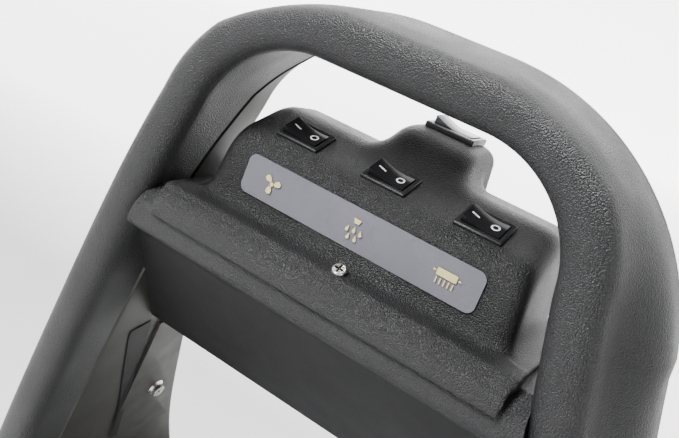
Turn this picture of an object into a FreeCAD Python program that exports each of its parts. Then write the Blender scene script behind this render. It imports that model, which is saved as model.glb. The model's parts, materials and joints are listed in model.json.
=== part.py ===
"""Compact walk-behind wet and dry floor scrubber, one object per sub-part.

Frame: +Z up, floor at Z = 0, origin under the middle of the machine, +Y the way it
travels, operator at -Y, +X to the operator's right. Millimetres.
"""
import FreeCAD, Part
import math
import os

import Sketcher
from FreeCAD import Placement, Rotation, Vector

DIMENSIONS = {
    # handle and console: place of the console's own origin, the front edge of the middle switch
    "console_y": -213,
    "console_z": 860,
    "wall": 3.5,
    "front_y": -241,
    "back_y": -184,
    "back_top_y": -164,
    "lean_z": 815,
    "front_low_y": -185.6,
    "back_low_y": 126.5,
    # front view of the arch and legs
    "leg_outer": 186.5,
    "leg_inner": 146.5,
    "knee_z": 600,
    "leg_bottom_z": 200,
    "arch_outer": 107.8,
    "arch_inner": 72.7,
    "arch_top_z": 924,
    "grip_z": 902,
    "outer_corner": 112,
    "inner_corner": 43,
    # console cover
    "cover_half": 73.5,
    "lip_half": 83,
    "cover_wall": 2.5,
    "face_angle": 22,
    "label_angle": 4.5,
    "pod_half": 20,
    "pod_x": 2,
    "pod_top_z": 881.5,
    "switch_pitch": 43.3,
    # tanks
    "tank_half": 136,
    "lid_half": 112,
    "tank_back_y": -180,
    "solution_top_z": 376,
    "recovery_top_z": 550,
    # running gear
    "wheel_radius": 90,
    "wheel_y": -90,
    "wheel_x": 167,
    "axle_radius": 7,
    "brush_radius": 55,
    "brush_y": 195,
    "brush_half": 148,
    "core_radius": 27,
    "motor_y": 80,
    "motor_z": 150,
    "motor_pulley_radius": 15,
    "brush_pulley_radius": 30,
    "belt_x": -170,
    # base
    "chassis_z": 110,
    "housing_back_y": -189,
    "housing_step_y": 20,
    "housing_front_y": 126,
    "housing_narrow": 158,
    "skirt_z": 60,
    "deck_front_y": 259,
    "deck_top_z": 125,
}

doc = FreeCAD.newDocument("floor_scrubber")
sheet = doc.addObject("Spreadsheet::Sheet", "Dims")
for row, (alias, number) in enumerate(DIMENSIONS.items(), start=1):
    sheet.set(f"A{row}", alias)
    sheet.set(f"B{row}", str(number))
    sheet.setAlias(f"B{row}", alias)
doc.recompute()

nodes = []


def size(expression):
    """The number that an expression on the sheet gives now."""
    return float(sheet.evalExpression(str(expression)))


def node(label, obj):
    """Marks a finished object as one of the sub-parts and names it."""
    obj.Label = label
    nodes.append(obj)
    return obj


def prism(name, role, points, start, length):
    """A padded polygon: points are pairs of expressions in the plane called role."""
    body = doc.addObject("PartDesign::Body", name)
    plane = next(f for f in body.Origin.OriginFeatures if f.Role == role)
    sketch = body.newObject("Sketcher::SketchObject", name + "_outline")
    sketch.AttachmentSupport = [(plane, "")]
    sketch.MapMode = "FlatFace"
    turned = role == "XZ_Plane"
    sketch.setExpression("AttachmentOffset.Base.z", f"{-1 if turned else 1} * ({start})")
    places = [(size(a), size(b)) for a, b in points]
    count = len(points)
    for i, (a, b) in enumerate(places):
        following = places[(i + 1) % count]
        sketch.addGeometry(Part.LineSegment(Vector(a, b, 0), Vector(*following, 0)), False)
    for i in range(count):
        sketch.addConstraint(Sketcher.Constraint("Coincident", i, 2, (i + 1) % count, 1))
    for i, pair in enumerate(points):
        for kind, text in zip(("DistanceX", "DistanceY"), pair):
            index = sketch.addConstraint(Sketcher.Constraint(kind, -1, 1, i, 1, size(text)))
            sketch.setExpression(f"Constraints[{index}]", str(text))
    pad = body.newObject("PartDesign::Pad", name + "_pad")
    pad.Profile = sketch
    pad.setExpression("Length", str(length))
    pad.Reversed = turned
    doc.recompute()
    return body


def round_edges(body, radius, chosen):
    """Fillets the edges of a body's last feature for which chosen(edge) is true."""
    tip = body.Tip
    names = [f"Edge{i + 1}" for i, e in enumerate(tip.Shape.Edges) if chosen(e)]
    fillet = body.newObject("PartDesign::Fillet", body.Name + "_round")
    fillet.Base = (tip, names)
    fillet.setExpression("Radius", str(radius))
    body.Tip = fillet
    doc.recompute()
    return body


def along(axis):
    """A test for straight edges that run along X, Y or Z."""
    def chosen(edge):
        if not isinstance(edge.Curve, Part.Line):
            return False
        return abs(abs(edge.Curve.Direction.dot(axis)) - 1) < 1e-6
    return chosen


def block(name, x, y, z):
    """A box between pairs of expressions on each axis."""
    obj = doc.addObject("Part::Box", name)
    for side, (low, high), letter in zip(("Length", "Width", "Height"), (x, y, z), "xyz"):
        obj.setExpression(side, f"({high}) - ({low})")
        obj.setExpression(f"Placement.Base.{letter}", str(low))
    return obj


AXES = {
    "X": Rotation(Vector(0, 1, 0), 90),
    "Y": Rotation(Vector(1, 0, 0), -90),
    "Z": Rotation(),
}


def rod(name, axis, radius, at, length):
    """A cylinder that starts at the point at and runs along +X, +Y or +Z."""
    obj = doc.addObject("Part::Cylinder", name)
    obj.Placement = Placement(Vector(), AXES[axis])
    obj.setExpression("Radius", str(radius))
    obj.setExpression("Height", str(length))
    for letter, text in zip("xyz", at):
        obj.setExpression(f"Placement.Base.{letter}", str(text))
    return obj


def joined(name, parts):
    obj = doc.addObject("Part::MultiFuse", name)
    obj.Shapes = parts
    obj.Refine = True
    return obj


def group(name, parts):
    """Separate solids kept together as one sub-part."""
    obj = doc.addObject("Part::Compound", name)
    obj.Links = parts
    return obj


def cut(name, base, *tools):
    obj = doc.addObject("Part::Cut", name)
    obj.Base = base
    obj.Tool = tools[0] if len(tools) == 1 else group(name + "_tools", list(tools))
    obj.Refine = True
    return obj


def common(name, first, second):
    obj = doc.addObject("Part::Common", name)
    obj.Base = first
    obj.Tool = second
    obj.Refine = True
    return obj


def ring(name, axis, outer, inner, at, length):
    """A tube along an axis: a cylinder with a coaxial hole right through it."""
    return cut(name, rod(name + "_body", axis, outer, at, length),
               rod(name + "_hole", axis, inner, at, length))


def tube_shape(points, radius, bore, bends):
    """A pipe along straight runs joined by tangent arcs, one bend radius per inner point."""
    points = [Vector(*p) for p in points]
    edges = []
    start = points[0]
    for before, corner, after, bend in zip(points, points[1:], points[2:], bends):
        back = (before - corner).normalize()
        ahead = (after - corner).normalize()
        half = (math.pi - back.getAngle(ahead)) / 2
        trim = bend * math.tan(half)
        entry = corner + back * trim
        leave = corner + ahead * trim
        bisector = (back + ahead).normalize()
        middle = corner + bisector * (bend / math.cos(half) - bend)
        edges.append(Part.LineSegment(start, entry).toShape())
        edges.append(Part.Arc(entry, middle, leave).toShape())
        start = leave
    edges.append(Part.LineSegment(start, points[-1]).toShape())
    path = Part.Wire(edges)
    direction = points[1] - points[0]
    solids = []
    for r in (radius, bore):
        if r:
            ring_edge = Part.Wire(Part.Circle(points[0], direction, r).toShape())
            solids.append(path.makePipeShell([ring_edge], True, False))
    return solids[0].cut(solids[1]) if bore else solids[0]


def tube(label, points, radius, bore, bends):
    obj = doc.addObject("Part::Feature", label)
    obj.Shape = tube_shape(points, radius, bore, bends)
    return node(label, obj)


def screw_solid(name, at, direction, head_radius, head, shank_radius, shank):
    """A pan head screw: the head stands on the surface at the point at, the shank goes in."""
    unit = Vector(*direction).normalize()
    turn = Rotation(Vector(0, 0, 1), unit)
    parts = []
    for part, radius, length, back in (
        ("head", head_radius, head, 0),
        ("shank", shank_radius, shank, shank),
    ):
        piece = doc.addObject("Part::Cylinder", f"{name}_{part}")
        piece.Radius = radius
        piece.Height = length
        piece.Placement = Placement(Vector(*at) - unit * back, turn)
        parts.append(piece)
    whole = joined(name, parts)
    slots = []
    for i in (0, 1):
        slot = doc.addObject("Part::Box", f"{name}_cross{i}")
        slot.Length = head_radius * 1.1
        slot.Width = head_radius * 0.22
        slot.Height = head
        centre = Vector(-slot.Length.Value / 2, -slot.Width.Value / 2, head * 0.45)
        spin = Rotation(Vector(0, 0, 1), 45 + 90 * i)
        slot.Placement = Placement(Vector(*at), turn).multiply(
            Placement(Vector(), spin)).multiply(Placement(centre, Rotation()))
        slots.append(slot)
    return cut(name + "_driven", whole, *slots)


# ---------------------------------------------------------------- handle shells

def hull(name, inset, start, length, rounded=True):
    """The outer outline of arch and legs seen from the front, padded along +Y."""
    low = "Dims.leg_bottom_z"
    side = f"Dims.leg_outer - {inset}"
    top = f"Dims.arch_outer - {inset}"
    points = [(f"-({side})", low), (side, low), (side, "Dims.knee_z"), (top, f"Dims.arch_top_z - {inset}"),
              (f"-({top})", f"Dims.arch_top_z - {inset}"), (f"-({side})", "Dims.knee_z")]
    body = prism(name, "XZ_Plane", points, start, length)
    if rounded:
        limit = size("Dims.arch_top_z") - 10
        round_edges(body, f"Dims.outer_corner - {inset}",
                    lambda e: along(Vector(0, 1, 0))(e) and e.CenterOfMass.z > limit)
    return body


def opening(name, grow, start, length):
    """The space between the legs and inside the arch, padded along +Y."""
    side = f"Dims.leg_inner + {grow}"
    top = f"Dims.arch_inner + {grow}"
    low = "Dims.leg_bottom_z - 60"
    points = [(f"-({side})", low), (side, low), (side, "Dims.knee_z"), (top, f"Dims.grip_z + {grow}"),
              (f"-({top})", f"Dims.grip_z + {grow}"), (f"-({side})", "Dims.knee_z")]
    body = prism(name, "XZ_Plane", points, start, length)
    limit = size("Dims.grip_z") - 5
    return round_edges(body, f"Dims.inner_corner + {grow}",
                       lambda e: along(Vector(0, 1, 0))(e) and e.CenterOfMass.z > limit)


def side_view(name, front, back):
    """The side outline of arch and legs, padded along X; front and back are insets."""
    points = [(f"Dims.front_y + {front}", "Dims.arch_top_z + 20"),
              (f"Dims.front_y + {front}", "Dims.lean_z"),
              (f"Dims.front_low_y + {front}", "Dims.leg_bottom_z"),
              (f"Dims.back_low_y - {back}", "Dims.leg_bottom_z"),
              (f"Dims.back_y - {back}", "Dims.lean_z"),
              (f"Dims.back_top_y - {back}", "Dims.arch_top_z + 20")]
    return prism(name, "YZ_Plane", points, "-260", "520")


LONG = 400
RIM = 8
GAP = 0.3
LINER = 3
SPLIT = 30


def shell_front():
    start = "Dims.front_y - 10"
    solid = common("front_blank", hull("front_hull", 0, start, LONG), side_view("front_side", 0, RIM))
    open_front = cut("front_open", solid, opening("front_opening", 0, start, LONG))
    hollow = cut("front_hollow",
                 common("front_hollow_blank", hull("front_hull_in", size("Dims.wall"), start, LONG),
                        side_view("front_side_in", size("Dims.wall"), -20)),
                 opening("front_opening_in", size("Dims.wall"), start, LONG))
    skin = cut("front_skin", open_front, hollow)
    deep = common("front_deep", hull("front_deep_hull", size("Dims.wall"), start, LONG),
                  side_view("front_deep_side", SPLIT, -20))
    return cut("front_legs", skin, deep)


def crossbar():
    """The trough between the legs: it carries the console and holds its wiring."""
    y, z = "Dims.console_y", "Dims.console_z"
    outside = prism("crossbar_out", "YZ_Plane",
                    [(f"{y} - 21.5", f"{z} - 38.2"), (f"{y} - 25.4", f"{z} - 41.5"),
                     (f"{y} - 25.4", f"{z} - 57"), (f"{y} - 17", f"{z} - 64"),
                     (f"{y} + 38", f"{z} - 133"), (f"{y} + 43", f"{z} - 133"),
                     (f"{y} + 43", f"{z} - 33.5")],
                    "-130", "260")
    inside = prism("crossbar_in", "YZ_Plane",
                   [(f"{y} - 22", f"{z} - 20"), (f"{y} - 22", f"{z} - 57"), (f"{y} - 15", f"{z} - 62"),
                    (f"{y} + 39", f"{z} - 129"), (f"{y} + 40", f"{z} - 129"), (f"{y} + 40", f"{z} - 20")],
                   "-100", "200")
    channel = cut("crossbar_channel", outside, inside)
    return common("crossbar", channel, opening("crossbar_limit", 0, "Dims.front_y - 10", 200))


def harness_hole(name):
    return rod(name, "X", 9, ("-140", "Dims.console_y + 18", "Dims.console_z - 78"), 60)


LEG_LEAN = 13.75
UPRIGHT_FACE = 3.3
UPRIGHT_BOLTS = [(86, -205), (110, -330), (110, -560)]


def bolt_places():
    """Tag, seat and inward direction of each screw that holds the legs to the uprights."""
    places = []
    for side in (-1, 1):
        for i, (depth, drop) in enumerate(UPRIGHT_BOLTS):
            leaning = size("Dims.console_z") + drop > size("Dims.knee_z")
            lean = math.radians(LEG_LEAN) if leaning else 0
            seat = wall_x(drop) - UPRIGHT_FACE / math.cos(lean)
            at = Vector(side * seat, size("Dims.console_y") + depth, size("Dims.console_z") + drop)
            inward = Vector(-side * math.cos(lean), 0, -math.sin(lean))
            places.append((f"{'l' if side < 0 else 'r'}{i}", at, inward))
    return places


def bolt_tools(name, radius, length):
    """Drills for those screws, centred on the wall."""
    tools = []
    for tag, at, inward in bolt_places():
        drill = doc.addObject("Part::Cylinder", f"{name}_{tag}")
        drill.Radius, drill.Height = radius, length
        drill.Placement = Placement(at - inward * length / 2, Rotation(Vector(0, 0, 1), inward))
        tools.append(drill)
    return tools


def wall_x(drop):
    """Half the width between the legs at a height given from the console's origin."""
    z = size("Dims.console_z") + drop
    lean = (size("Dims.leg_inner") - size("Dims.arch_inner")) / (size("Dims.grip_z") - size("Dims.knee_z"))
    return size("Dims.leg_inner") - max(0, z - size("Dims.knee_z")) * lean


node("handle_front_shell",
     cut("handle_front", joined("handle_front_whole", [shell_front(), crossbar()]),
         harness_hole("front_wire_hole")))


def shell_back():
    far = "Dims.front_y - 10"
    liner = cut("liner", common("liner_blank", opening("liner_out", LINER, far, LONG),
                                side_view("liner_side", SPLIT + GAP, 0)),
                opening("liner_in", 0, far, LONG + 20))
    low = block("liner_floor_cut", ("-200", "200"), ("-300", "200"),
                ("Dims.leg_bottom_z - 80", "Dims.leg_bottom_z"))
    liner = cut("liner_trim", liner, low)
    plate = cut("back_plate", common("back_plate_blank", hull("back_hull", 0, far, LONG),
                                     side_view("back_side", 0, 0)),
                opening("back_opening", 0, far, LONG + 20), side_view("back_fore", -50, RIM - GAP))
    thin = cut("back_thin", common("back_thin_blank", hull("back_hull_in", size("Dims.wall"), far, LONG),
                                   side_view("back_side_in", -50, LINER)),
               opening("back_opening_in", LINER, far, LONG + 20))
    rim = cut("back_rim", plate, thin)
    return joined("shell_back_whole", [liner, rim])


node("handle_rear_shell", cut("handle_rear", shell_back(), harness_hole("rear_wire_hole"),
                              *bolt_tools("rear_drill", 2.2, 30)))


# ---------------------------------------------------------------- console cover

def console_points(shift):
    """The console's side outline, moved inwards by shift, closed along its floor."""
    y, z = "Dims.console_y", "Dims.console_z"
    slope = math.tan(math.radians(size("Dims.face_angle")))
    front_top = (-7.6 + shift, (-7.6 + shift) * slope - shift)
    ridge = (22 + 0.2 * shift, 22 * slope - shift)
    return [(f"{y} - 9.5 + {shift}", f"{z} - 33.5 - {0 if not shift else 1}"),
            (f"{y} - 9.5 + {shift}", f"{z} - 28"),
            (f"{y} + {front_top[0]}", f"{z} + {front_top[1]}"),
            (f"{y} + {ridge[0]}", f"{z} + {ridge[1]}"),
            (f"{y} + 46 - {shift}", f"{z} + 7.2 - {shift}"),
            (f"{y} + 46.5 - {shift}", f"{z} - 33.5 - {0 if not shift else 1}")]


def console():
    half = "Dims.cover_half"
    inset = size("Dims.cover_wall")
    outside = prism("cover_out", "YZ_Plane", console_points(0), f"-{half}", f"2 * {half}")
    top = size("Dims.console_z") - 10
    outside = round_edges(outside, 7, lambda e: e.CenterOfMass.z > top and abs(e.CenterOfMass.x) > 70)
    inside = prism("cover_in", "YZ_Plane", console_points(inset), f"{inset + 5} - {half}",
                   f"2 * {half} - {2 * inset + 10}")
    y, z = "Dims.console_y", "Dims.console_z"
    lip = prism("cover_lip", "YZ_Plane",
                [(f"{y} - 28.2", f"{z} - 46"), (f"{y} - 28.2", f"{z} - 38.5"),
                 (f"{y} - 24.2", f"{z} - 34.6"),
                 (f"{y} - 9", f"{z} - 28.5"), (f"{y} - 9", f"{z} - 31.4"), (f"{y} - 23", f"{z} - 37"),
                 (f"{y} - 25.7", f"{z} - 40"), (f"{y} - 25.7", f"{z} - 46")],
                "-Dims.lip_half", "2 * Dims.lip_half")
    x = ("Dims.pod_x - Dims.pod_half", "Dims.pod_x + Dims.pod_half")
    pod = prism("pod_out", "YZ_Plane",
                [(f"{y} + 26", f"{z} + 2"), (f"{y} + 35", "Dims.pod_top_z"),
                 (f"{y} + 67", "Dims.pod_top_z"),
                 (f"{y} + 69", f"{z} - 33.5"), (f"{y} + 26", f"{z} - 33.5")], x[0], "2 * Dims.pod_half")
    pod = round_edges(pod, 5, lambda e: e.CenterOfMass.z > size("Dims.pod_top_z") - 1)
    pod_in = block("pod_in", (f"{x[0]} + {inset}", f"{x[1]} - {inset}"),
                   (f"{y} + 37.5", f"{y} + 64.5"), (f"{z} - 31", "Dims.pod_top_z - 2.5"))
    wells = []
    for i in (-1, 0, 1):
        well = doc.addObject("Part::Box", f"switch_slot{i + 1}")
        well.Length, well.Width, well.Height = 19.2, 13.2, 30
        well.Placement = switch_place(i).multiply(Placement(Vector(-9.6, -6.6, -20), Rotation()))
        wells.append(well)
    master = block("master_slot", ("Dims.pod_x - 11", "Dims.pod_x + 11"), (f"{y} + 46", f"{y} + 61"),
                   ("Dims.pod_top_z - 10", "Dims.pod_top_z + 5"))
    screw_hole = rod("cover_screw_hole", "Z", 1.7, ("0", f"{y} - 17", f"{z} - 50"), 30)
    screw_seat = rod("cover_screw_seat", "Z", 3.4, ("0", f"{y} - 17", f"{z} - 33.4"), 10)
    whole = joined("cover_whole", [outside, lip, pod])
    return cut("cover_body", whole, inside, pod_in, master, screw_hole, screw_seat, *wells)


def switch_place(index):
    """Where the small switch with that index stands: its bezel's foot, turned to the sloping face."""
    angle = math.radians(size("Dims.face_angle"))
    half = 7.5
    at = Vector(index * size("Dims.switch_pitch"), size("Dims.console_y") + half * math.cos(angle),
                size("Dims.console_z") + half * math.sin(angle))
    return Placement(at, Rotation(Vector(1, 0, 0), size("Dims.face_angle")))


node("console_cover", console())


def switch(body_label, rocker_label, place, scale, bezel_height):
    """A rocker switch. Its own frame: X along the rocker, Z out of the panel, origin on the panel."""
    bezel = (10.5 * scale, 7.5 * scale)
    body = (9.4 * scale, 6.4 * scale)
    well = (8.8 * scale, 5.35 * scale)
    reach = 8.5 * scale
    pivot = bezel_height - 1.2
    parts = []
    for name, (x, y), low, high in (("bezel", bezel, 0, bezel_height), ("case", body, -14, 0)):
        box = doc.addObject("Part::Box", f"{body_label}_{name}")
        box.Length, box.Width, box.Height = 2 * x, 2 * y, high - low
        box.Placement = Placement(Vector(-x, -y, low), Rotation())
        parts.append(box)
    hole = doc.addObject("Part::Box", body_label + "_well")
    hole.Length, hole.Width, hole.Height = 2 * well[0], 2 * well[1], 12
    hole.Placement = Placement(Vector(-well[0], -well[1], bezel_height - 11), Rotation())
    bore = doc.addObject("Part::Cylinder", body_label + "_bore")
    bore.Radius, bore.Height = 1.06, 12 * scale
    bore.Placement = Placement(Vector(0, -6 * scale, pivot), AXES["Y"])
    case = cut(body_label + "_case", joined(body_label + "_solid", parts), hole, bore)
    case.Placement = place
    node(body_label, case)

    drum = doc.addObject("Part::Cylinder", rocker_label + "_drum")
    drum.Radius, drum.Height = reach, 10.2 * scale
    drum.Placement = Placement(Vector(0, -5.1 * scale, pivot), AXES["Y"])
    rise = reach * math.sin(math.radians(17))
    edge = reach * math.cos(math.radians(17))
    dip = rise - edge * math.tan(math.radians(10))
    deep = -4.5 * scale
    wide = reach + 2
    slope = (rise - dip) / edge
    vee = prism(rocker_label + "_vee", "XZ_Plane",
                [(-wide, deep), (wide, deep), (wide, dip + slope * wide), (0, dip),
                 (-wide, dip + slope * wide)],
                -5.1 * scale - 1, 10.2 * scale + 2)
    vee.Placement = Placement(Vector(0, 0, pivot), Rotation(Vector(0, 1, 0), 10))
    paddle = common(rocker_label + "_paddle", drum, vee)
    pin = doc.addObject("Part::Cylinder", rocker_label + "_pin")
    pin.Radius, pin.Height = 1.0, 11.6 * scale
    pin.Placement = Placement(Vector(0, -5.8 * scale, pivot), AXES["Y"])
    rocker = joined(rocker_label + "_solid", [paddle, pin])
    rocker.Placement = place
    node(rocker_label, rocker)


blades = []
for index, word in ((-1, "left"), (0, "centre"), (1, "right")):
    spot = switch_place(index)
    switch(f"switch_body_{word}", f"rocker_{word}", spot, 1.0, 1.5)
    for k in (-1, 0, 1):
        blade = doc.addObject("Part::Box", f"blade_{word}{k + 1}")
        blade.Length, blade.Width, blade.Height = 0.8, 4.8, 7
        blade.Placement = spot.multiply(Placement(Vector(k * 6 - 0.4, -2.4, -21), Rotation()))
        blades.append(blade)

master_spot = Placement(Vector(size("Dims.pod_x"), size("Dims.console_y") + 53.5, size("Dims.pod_top_z")),
                        Rotation())
switch("master_switch_body", "master_rocker", master_spot, 1.14, 2.6)
for k in (-1, 1):
    blade = doc.addObject("Part::Box", f"blade_master{k + 1}")
    blade.Length, blade.Width, blade.Height = 0.8, 6.3, 8
    blade.Placement = master_spot.multiply(Placement(Vector(k * 6 - 0.4, -3.15, -22), Rotation()))
    blades.append(blade)
node("switch_terminals", group("terminals", blades))


def label():
    strip = prism("label_body", "XZ_Plane", [(-56.5, -8.5), (56.5, -8.5), (56.5, 8.5), (-56.5, 8.5)], 0,
                  0.6)
    strip = round_edges(strip, 3.5, along(Vector(0, 1, 0)))
    strip.Placement = Placement(Vector(0, size("Dims.console_y") - 9.45, size("Dims.console_z") - 17.4),
                                Rotation(Vector(1, 0, 0), -size("Dims.label_angle")))
    return strip


node("label_strip", label())
node("console_screw", screw_solid("cover_screw", (0, size("Dims.console_y") - 17,
                                                  size("Dims.console_z") - 33.4),
                                  (0, 0, 1), 2.8, 1.8, 1.45, 9))


# ---------------------------------------------------------------- uprights and their screws

def uprights():
    """Two steel plates along the inner walls of the legs, from the crossbar to the chassis."""
    y, z = "Dims.console_y", "Dims.console_z"
    start = "Dims.front_y - 10"
    sheet_metal = cut("upright_sheet", opening("upright_out", -0.2, start, LONG),
                      opening("upright_in", -3.2, start, LONG))
    outline = prism("upright_side", "YZ_Plane",
                    [(f"{y} + 48", f"{z} - 140"), (f"{y} + 70", f"{z} - 140"), (f"{y} + 140", f"{z} - 280"),
                     (f"{y} + 185", f"{z} - 560"), (f"{y} + 185", "Dims.chassis_z"),
                     (f"{y} + 66", "Dims.chassis_z"),
                     (f"{y} + 66", f"{z} - 240")], "-160", "320")
    plates = cut("upright_plates", common("upright_blank", sheet_metal, outline),
                 *bolt_tools("upright_drill", 2.2, 30))
    for side, word in ((-1, "left"), (1, "right")):
        half = block(f"upright_half_{word}", ("-160" if side < 0 else "0", "0" if side < 0 else "160"),
                     ("-300", "200"), ("0", "900"))
        node(f"frame_upright_{word}", common(f"upright_{word}", plates, half))


uprights()

screws = []
washers = []
for tag, at, inward in bolt_places():
    screws.append(screw_solid(f"leg_screw_{tag}", tuple(at + inward * 1.3), tuple(inward), 4.2, 2.4, 1.9,
                              14))
    cup = doc.addObject("Part::Cone", f"cup_{tag}")
    cup.Radius1, cup.Radius2, cup.Height = 5.8, 4.6, 1.2
    hole = doc.addObject("Part::Cylinder", f"cup_hole_{tag}")
    hole.Radius, hole.Height = 2.0, 3
    for piece in (cup, hole):
        piece.Placement = Placement(at + inward * 0.05, Rotation(Vector(0, 0, 1), inward))
    washers.append(cut(f"washer_{tag}", cup, hole))
node("leg_screws", group("leg_screws_all", screws))
node("cup_washers", group("washers_all", washers))


# ---------------------------------------------------------------- base

def turned(name, points, at, axis):
    """A body turned from a half outline of (radius, height) pairs, its axis through at."""
    body = doc.addObject("PartDesign::Body", name)
    plane = next(f for f in body.Origin.OriginFeatures if f.Role == "XZ_Plane")
    sketch = body.newObject("Sketcher::SketchObject", name + "_outline")
    sketch.AttachmentSupport = [(plane, "")]
    sketch.MapMode = "FlatFace"
    places = [(size(a), size(b)) for a, b in points]
    count = len(points)
    for i, (a, b) in enumerate(places):
        following = places[(i + 1) % count]
        sketch.addGeometry(Part.LineSegment(Vector(a, b, 0), Vector(*following, 0)), False)
    for i in range(count):
        sketch.addConstraint(Sketcher.Constraint("Coincident", i, 2, (i + 1) % count, 1))
    for i, pair in enumerate(points):
        for kind, text in zip(("DistanceX", "DistanceY"), pair):
            index = sketch.addConstraint(Sketcher.Constraint(kind, -1, 1, i, 1, size(text)))
            sketch.setExpression(f"Constraints[{index}]", str(text))
    turn = body.newObject("PartDesign::Revolution", name + "_turned")
    turn.Profile = sketch
    turn.ReferenceAxis = (sketch, ["V_Axis"])
    turn.Angle = 360
    body.Placement = Placement(Vector(*[size(t) for t in at]), AXES[axis])
    doc.recompute()
    return body


def mirrored(function):
    """The same pieces made at both sides of the machine."""
    return [function(side, word) for side, word in ((-1, "left"), (1, "right"))]


def span(side, low, high):
    """An X range on one side of the machine, as a pair of expressions."""
    return (f"{low}", f"{high}") if side > 0 else (f"-({high})", f"-({low})")


def chassis():
    z = "Dims.chassis_z"
    parts = [block("chassis_plate", ("-143.2", "143.2"), ("-150", "118"), (z, f"{z} + 3"))]
    holes = []
    for side, word in ((-1, "left"), (1, "right")):
        parts.append(block(f"chassis_flange_{word}", span(side, "140.2", "143.2"), ("-150", "-20"),
                           (z, f"{z} + 50")))
        parts.append(block(f"chassis_ear_{word}", span(side, "118", "126"),
                           ("Dims.wheel_y - 24", "Dims.wheel_y + 24"), ("Dims.wheel_radius - 20", z)))
        holes.append(rod(f"chassis_hole_{word}", "X", "Dims.axle_radius",
                         (span(side, "110", "130")[0], "Dims.wheel_y", "Dims.wheel_radius"), 20))
    return cut("chassis_cut", joined("chassis_whole", parts), *holes)


node("chassis", chassis())
node("wheel_axle", rod("axle", "X", "Dims.axle_radius", ("-186", "Dims.wheel_y", "Dims.wheel_radius"), 372))


def housing():
    top = "Dims.leg_bottom_z"
    wide = "Dims.leg_outer"
    wall = "Dims.wall"
    narrow = "Dims.housing_narrow"
    back, step, front, low = "Dims.housing_back_y", "Dims.housing_step_y", "Dims.housing_front_y", "Dims.skirt_z"
    outside = joined("housing_out", [
        block("housing_rear", (f"-{wide}", wide), (back, step), (low, top)),
        block("housing_fore", (f"-{narrow}", narrow), (f"{step} - 5", front), (low, top))])
    tools = [block("housing_bay", ("-147", "147"), (f"{back} + {wall}", f"{step} - {wall}"),
                   ("20", f"{top} - {wall}")),
             block("housing_bay_fore", (f"{wall} - {narrow}", f"{narrow} - {wall}"),
                   (f"{step} - {wall} - 1", f"{front} - {wall}"), ("20", f"{top} - {wall}")),
             rod("housing_pump_hole", "Z", 6.3, ("-80", "-97", "190"), 20),
             rod("housing_duct_hole", "Y", 17.5, ("50", f"{back} - 5", "170"), 20),
             rod("housing_hose_hole", "Y", 5, ("85", f"{front} - 10", "117.3"), 20),
             rod("housing_shaft_hole", "X", 12, (f"-{narrow} - 5", "Dims.motor_y", "Dims.motor_z"), 20)]
    for side, word in ((-1, "left"), (1, "right")):
        tools.append(block(f"housing_slot_{word}", span(side, "142.9", "147"),
                           ("Dims.console_y + 65", "Dims.console_y + 186"), (f"{top} - 10", f"{top} + 10")))
        tools.append(block(f"housing_well_{word}", span(side, "150", f"{wide} - {wall}"),
                           (f"{back} + {wall}", f"{step} - {wall}"), ("20", f"{top} - {wall}")))
        tools.append(rod(f"housing_arch_{word}", "X", "Dims.wheel_radius + 5",
                         (span(side, f"{wide} - 10", f"{wide} + 10")[0], "Dims.wheel_y",
                          "Dims.wheel_radius"), 20))
        tools.append(rod(f"housing_axle_{word}", "X", "Dims.axle_radius + 0.5",
                         (span(side, "140", "160")[0], "Dims.wheel_y", "Dims.wheel_radius"), 20))
    return cut("housing", outside, *tools)


node("base_housing", housing())


def wheel(side, word):
    at = (f"{side} * Dims.wheel_x", "Dims.wheel_y", "Dims.wheel_radius")
    bore = "Dims.axle_radius + 0.05"
    hub = turned(f"hub_{word}", [(bore, -14), (17, -14), (17, -5), (54, -5), (54, -12), (64, -12), (64, 12),
                                 (54, 12), (54, 5), (17, 5), (17, 14), (bore, 14)], at, "X")
    tread = "Dims.wheel_radius"
    tyre = turned(f"rubber_{word}", [(64, -12), (70, -14), (f"{tread} - 4", -13), (tread, -9), (tread, 9),
                                     (f"{tread} - 4", 13), (70, 14), (64, 12)], at, "X")
    node(f"wheel_{word}", hub)
    node(f"tyre_{word}", tyre)
    start = span(side, "181.8", "188.5")[0]
    cap = rod(f"cap_{word}", "X", 12, (start, "Dims.wheel_y", "Dims.wheel_radius"), 6.7)
    seat = rod(f"cap_seat_{word}", "X", "Dims.axle_radius",
               (span(side, "181", "186")[0], "Dims.wheel_y", "Dims.wheel_radius"), 5)
    return cut(f"axle_cap_{word}", cap, seat)


node("axle_caps", group("axle_caps_all", mirrored(wheel)))


# ---------------------------------------------------------------- brush and its drive

def brush():
    y, z, half = "Dims.brush_y", "Dims.brush_radius", "Dims.brush_half"
    core = turned("core", [(0, f"-{half}"), ("Dims.core_radius", f"-{half}"), ("Dims.core_radius", half),
                           (0, half)],
                  ("0", y, z), "X")
    shaft = rod("core_shaft", "X", "Dims.axle_radius", ("-176", y, z), 176 + 157)
    node("brush_core", joined("core_whole", [core, shaft]))
    node("brush_bristles", ring("bristles", "X", "Dims.brush_radius", "Dims.core_radius",
                                (f"2 - {half}", y, z),
                                f"2 * {half} - 4"))
    bearings = mirrored(lambda side, word: ring(
        f"bearing_{word}", "X", 13, "Dims.axle_radius + 0.05", (span(side, "151", "158")[0], y, z), 7))
    node("brush_bearings", group("bearings_all", bearings))


brush()


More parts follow.
